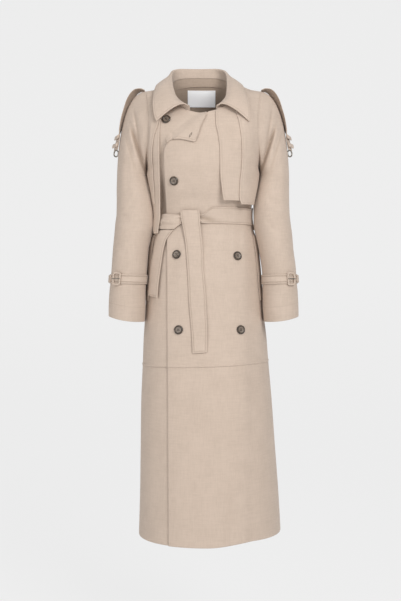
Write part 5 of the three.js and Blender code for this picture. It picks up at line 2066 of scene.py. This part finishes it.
@dataclass
class NeckLabel:
    """A bare satin label sewn inside the back of the neck."""

    torso: Torso
    mid: float = -4
    half: float = 41
    bottom: float = -24.5
    top: float = 20
    thick: float = 1

    def build(self, wardrobe: Wardrobe) -> None:
        """Makes the label on the back's inner face."""
        z = mix(self.bottom, self.top, spread(24, (0.02, 0.05)))[:, None]
        x = (self.mid + mix(-self.half, self.half, spread(40, (0.01, 0.03))))[None, :]
        x, z = np.broadcast_arrays(x, z)
        lift = np.full(x.shape, -self.torso.cloth - self.thick)
        grid = self.torso.off(2 - self.torso.turn_at(x, z), z, lift, front=False)
        sheet = Sheet("satin_neck_label", grid, self.thick, toward=1, rim=Rim(offset=2.5))
        wardrobe.sheet(sheet, "neck_label", Held.LAID, ["cloth_back"], slot="label")


@dataclass
class Studio:
    """The camera at the photograph's view, a pale sweep of floor and wall, and soft lights."""

    eye: tuple[float, float, float] = (-0.007, -2.62, -0.596)
    focal_pixels: float = 916
    picture_height: float = 601
    sensor: float = 36
    floor: float = -1.62
    wall: float = 4.8
    bend: float = 1.2
    near_edge: float = -9
    half_width: float = 8
    wall_height: float = 7
    paper: Colour = (0.12, 0.12, 0.12)
    glow: Colour = (0.86, 0.86, 0.86)
    glow_strength: float = 0.895
    sky_strength: float = 0.25

    def camera(self) -> None:
        """A level camera whose long side takes the sensor's width."""
        data = bpy.data.cameras.new("camera")
        data.sensor_width = self.sensor
        data.lens = self.sensor * self.focal_pixels / self.picture_height
        data.clip_end = 50
        camera = object_of("camera", data)
        camera.location = self.eye
        camera.rotation_euler = (math.pi / 2, 0, 0)
        bpy.context.scene.camera = camera

    def sweep(self) -> None:
        """A floor that curves up into a wall, a profile carried across."""
        angle = np.linspace(0, np.pi / 2, 25)
        bent_y = self.wall - self.bend + self.bend * np.sin(angle)
        bent_z = self.floor + self.bend - self.bend * np.cos(angle)
        y = np.concatenate([[self.near_edge], bent_y, [self.wall]])
        z = np.concatenate([[self.floor], bent_z, [self.floor + self.wall_height]])
        x = np.array([-self.half_width, self.half_width])
        grid = points(x[None, :], y[:, None], z[:, None])
        index = np.arange(grid.shape[0] * 2).reshape(-1, 2)
        faces = np.stack([index[:-1, 0], index[:-1, 1], index[1:, 1], index[1:, 0]], axis=-1)
        sweep = object_of("paper_sweep", mesh_of("paper_sweep", grid.reshape(-1, 3), [faces.reshape(-1, 4)]))
        material, *_, shader = new_material("pale_paper", self.paper)
        set_values(shader, {
            "Base Color": (*self.paper, 1), "Roughness": 0.9, "Specular IOR Level": 0.0,
            "Emission Color": (*self.glow, 1), "Emission Strength": self.glow_strength,
        })
        sweep.data.materials.append(material)

    def lights(self) -> None:
        """A broad key in front above, a fill from the other side, and an even sky."""
        lamps = (
            ("key", (1.9, -3.6, 1.4), (66, 0, 28), 1.8, 114.0),
            ("fill", (-2.4, -3.0, 0.1), (80, 0, -39), 2.8, 52.0),
            ("top", (0.2, -0.9, 2.6), (18, 0, 0), 1.8, 16.0),
        )
        for name, place, turned, size, power in lamps:
            data = bpy.data.lights.new(name, "AREA")
            data.shape = "SQUARE"
            data.size = size
            data.energy = power
            lamp = object_of(name, data)
            lamp.location = place
            lamp.rotation_euler = tuple(math.radians(a) for a in turned)
        world = bpy.data.worlds.new("sky")
        world.use_nodes = True
        sky = world.node_tree.nodes["Background"]
        set_values(sky, {"Color": (1, 1, 1, 1), "Strength": self.sky_strength})
        bpy.context.scene.world = world
        bpy.context.scene.view_settings.view_transform = "Standard"

    def build(self) -> None:
        """Sets up the whole studio."""
        self.camera()
        self.sweep()
        self.lights()


NECK_BUTTON_LIFT = -0.4
BUTTON_GAP = 0.6
BUTTONS = (
    ("button_neck", -101, -98),
    ("button_chest", -78, -267),
    ("button_hip_right", -70, -471),
    ("button_hip_left", 92, -474.5),
    ("button_low_right", -65, -676),
    ("button_low_left", 100, -676),
)


def main() -> None:
    """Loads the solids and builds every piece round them."""
    logging.basicConfig(level=logging.INFO, format="%(name)s %(message)s")
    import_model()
    Studio().build()
    groups = NodeGroups()
    finishes = {
        "cloth": ClothFinish(),
        "horn": HornFinish(),
        "metal": MetalFinish(),
        "label": LabelFinish(),
        "thread": ThreadFinish(),
    }
    wardrobe = Wardrobe({slot: finish.make(groups) for slot, finish in finishes.items()})
    torso = Torso()
    CoatBody(torso, wardrobe).build()
    for side in Side:
        sleeve = Sleeve(torso, side)
        sleeve.build(wardrobe)
        CuffStrap(sleeve).build(wardrobe)
        ShoulderStrap(side).build(wardrobe)
        PocketWelt(torso, side).build(wardrobe)
    Collar(torso).build(wardrobe)
    TurnedCorner(torso).build(wardrobe)
    for flap in chest_flaps(torso):
        flap.build(wardrobe)
    Belt(torso).build(wardrobe)
    for name, x, z in BUTTONS:
        lift = NECK_BUTTON_LIFT if name == "button_neck" else torso.lap_lift
        Button(torso, name, x, z, lift + BUTTON_GAP).build(wardrobe)
    NeckLabel(torso).build(wardrobe)


if __name__ == "__main__":
    main()
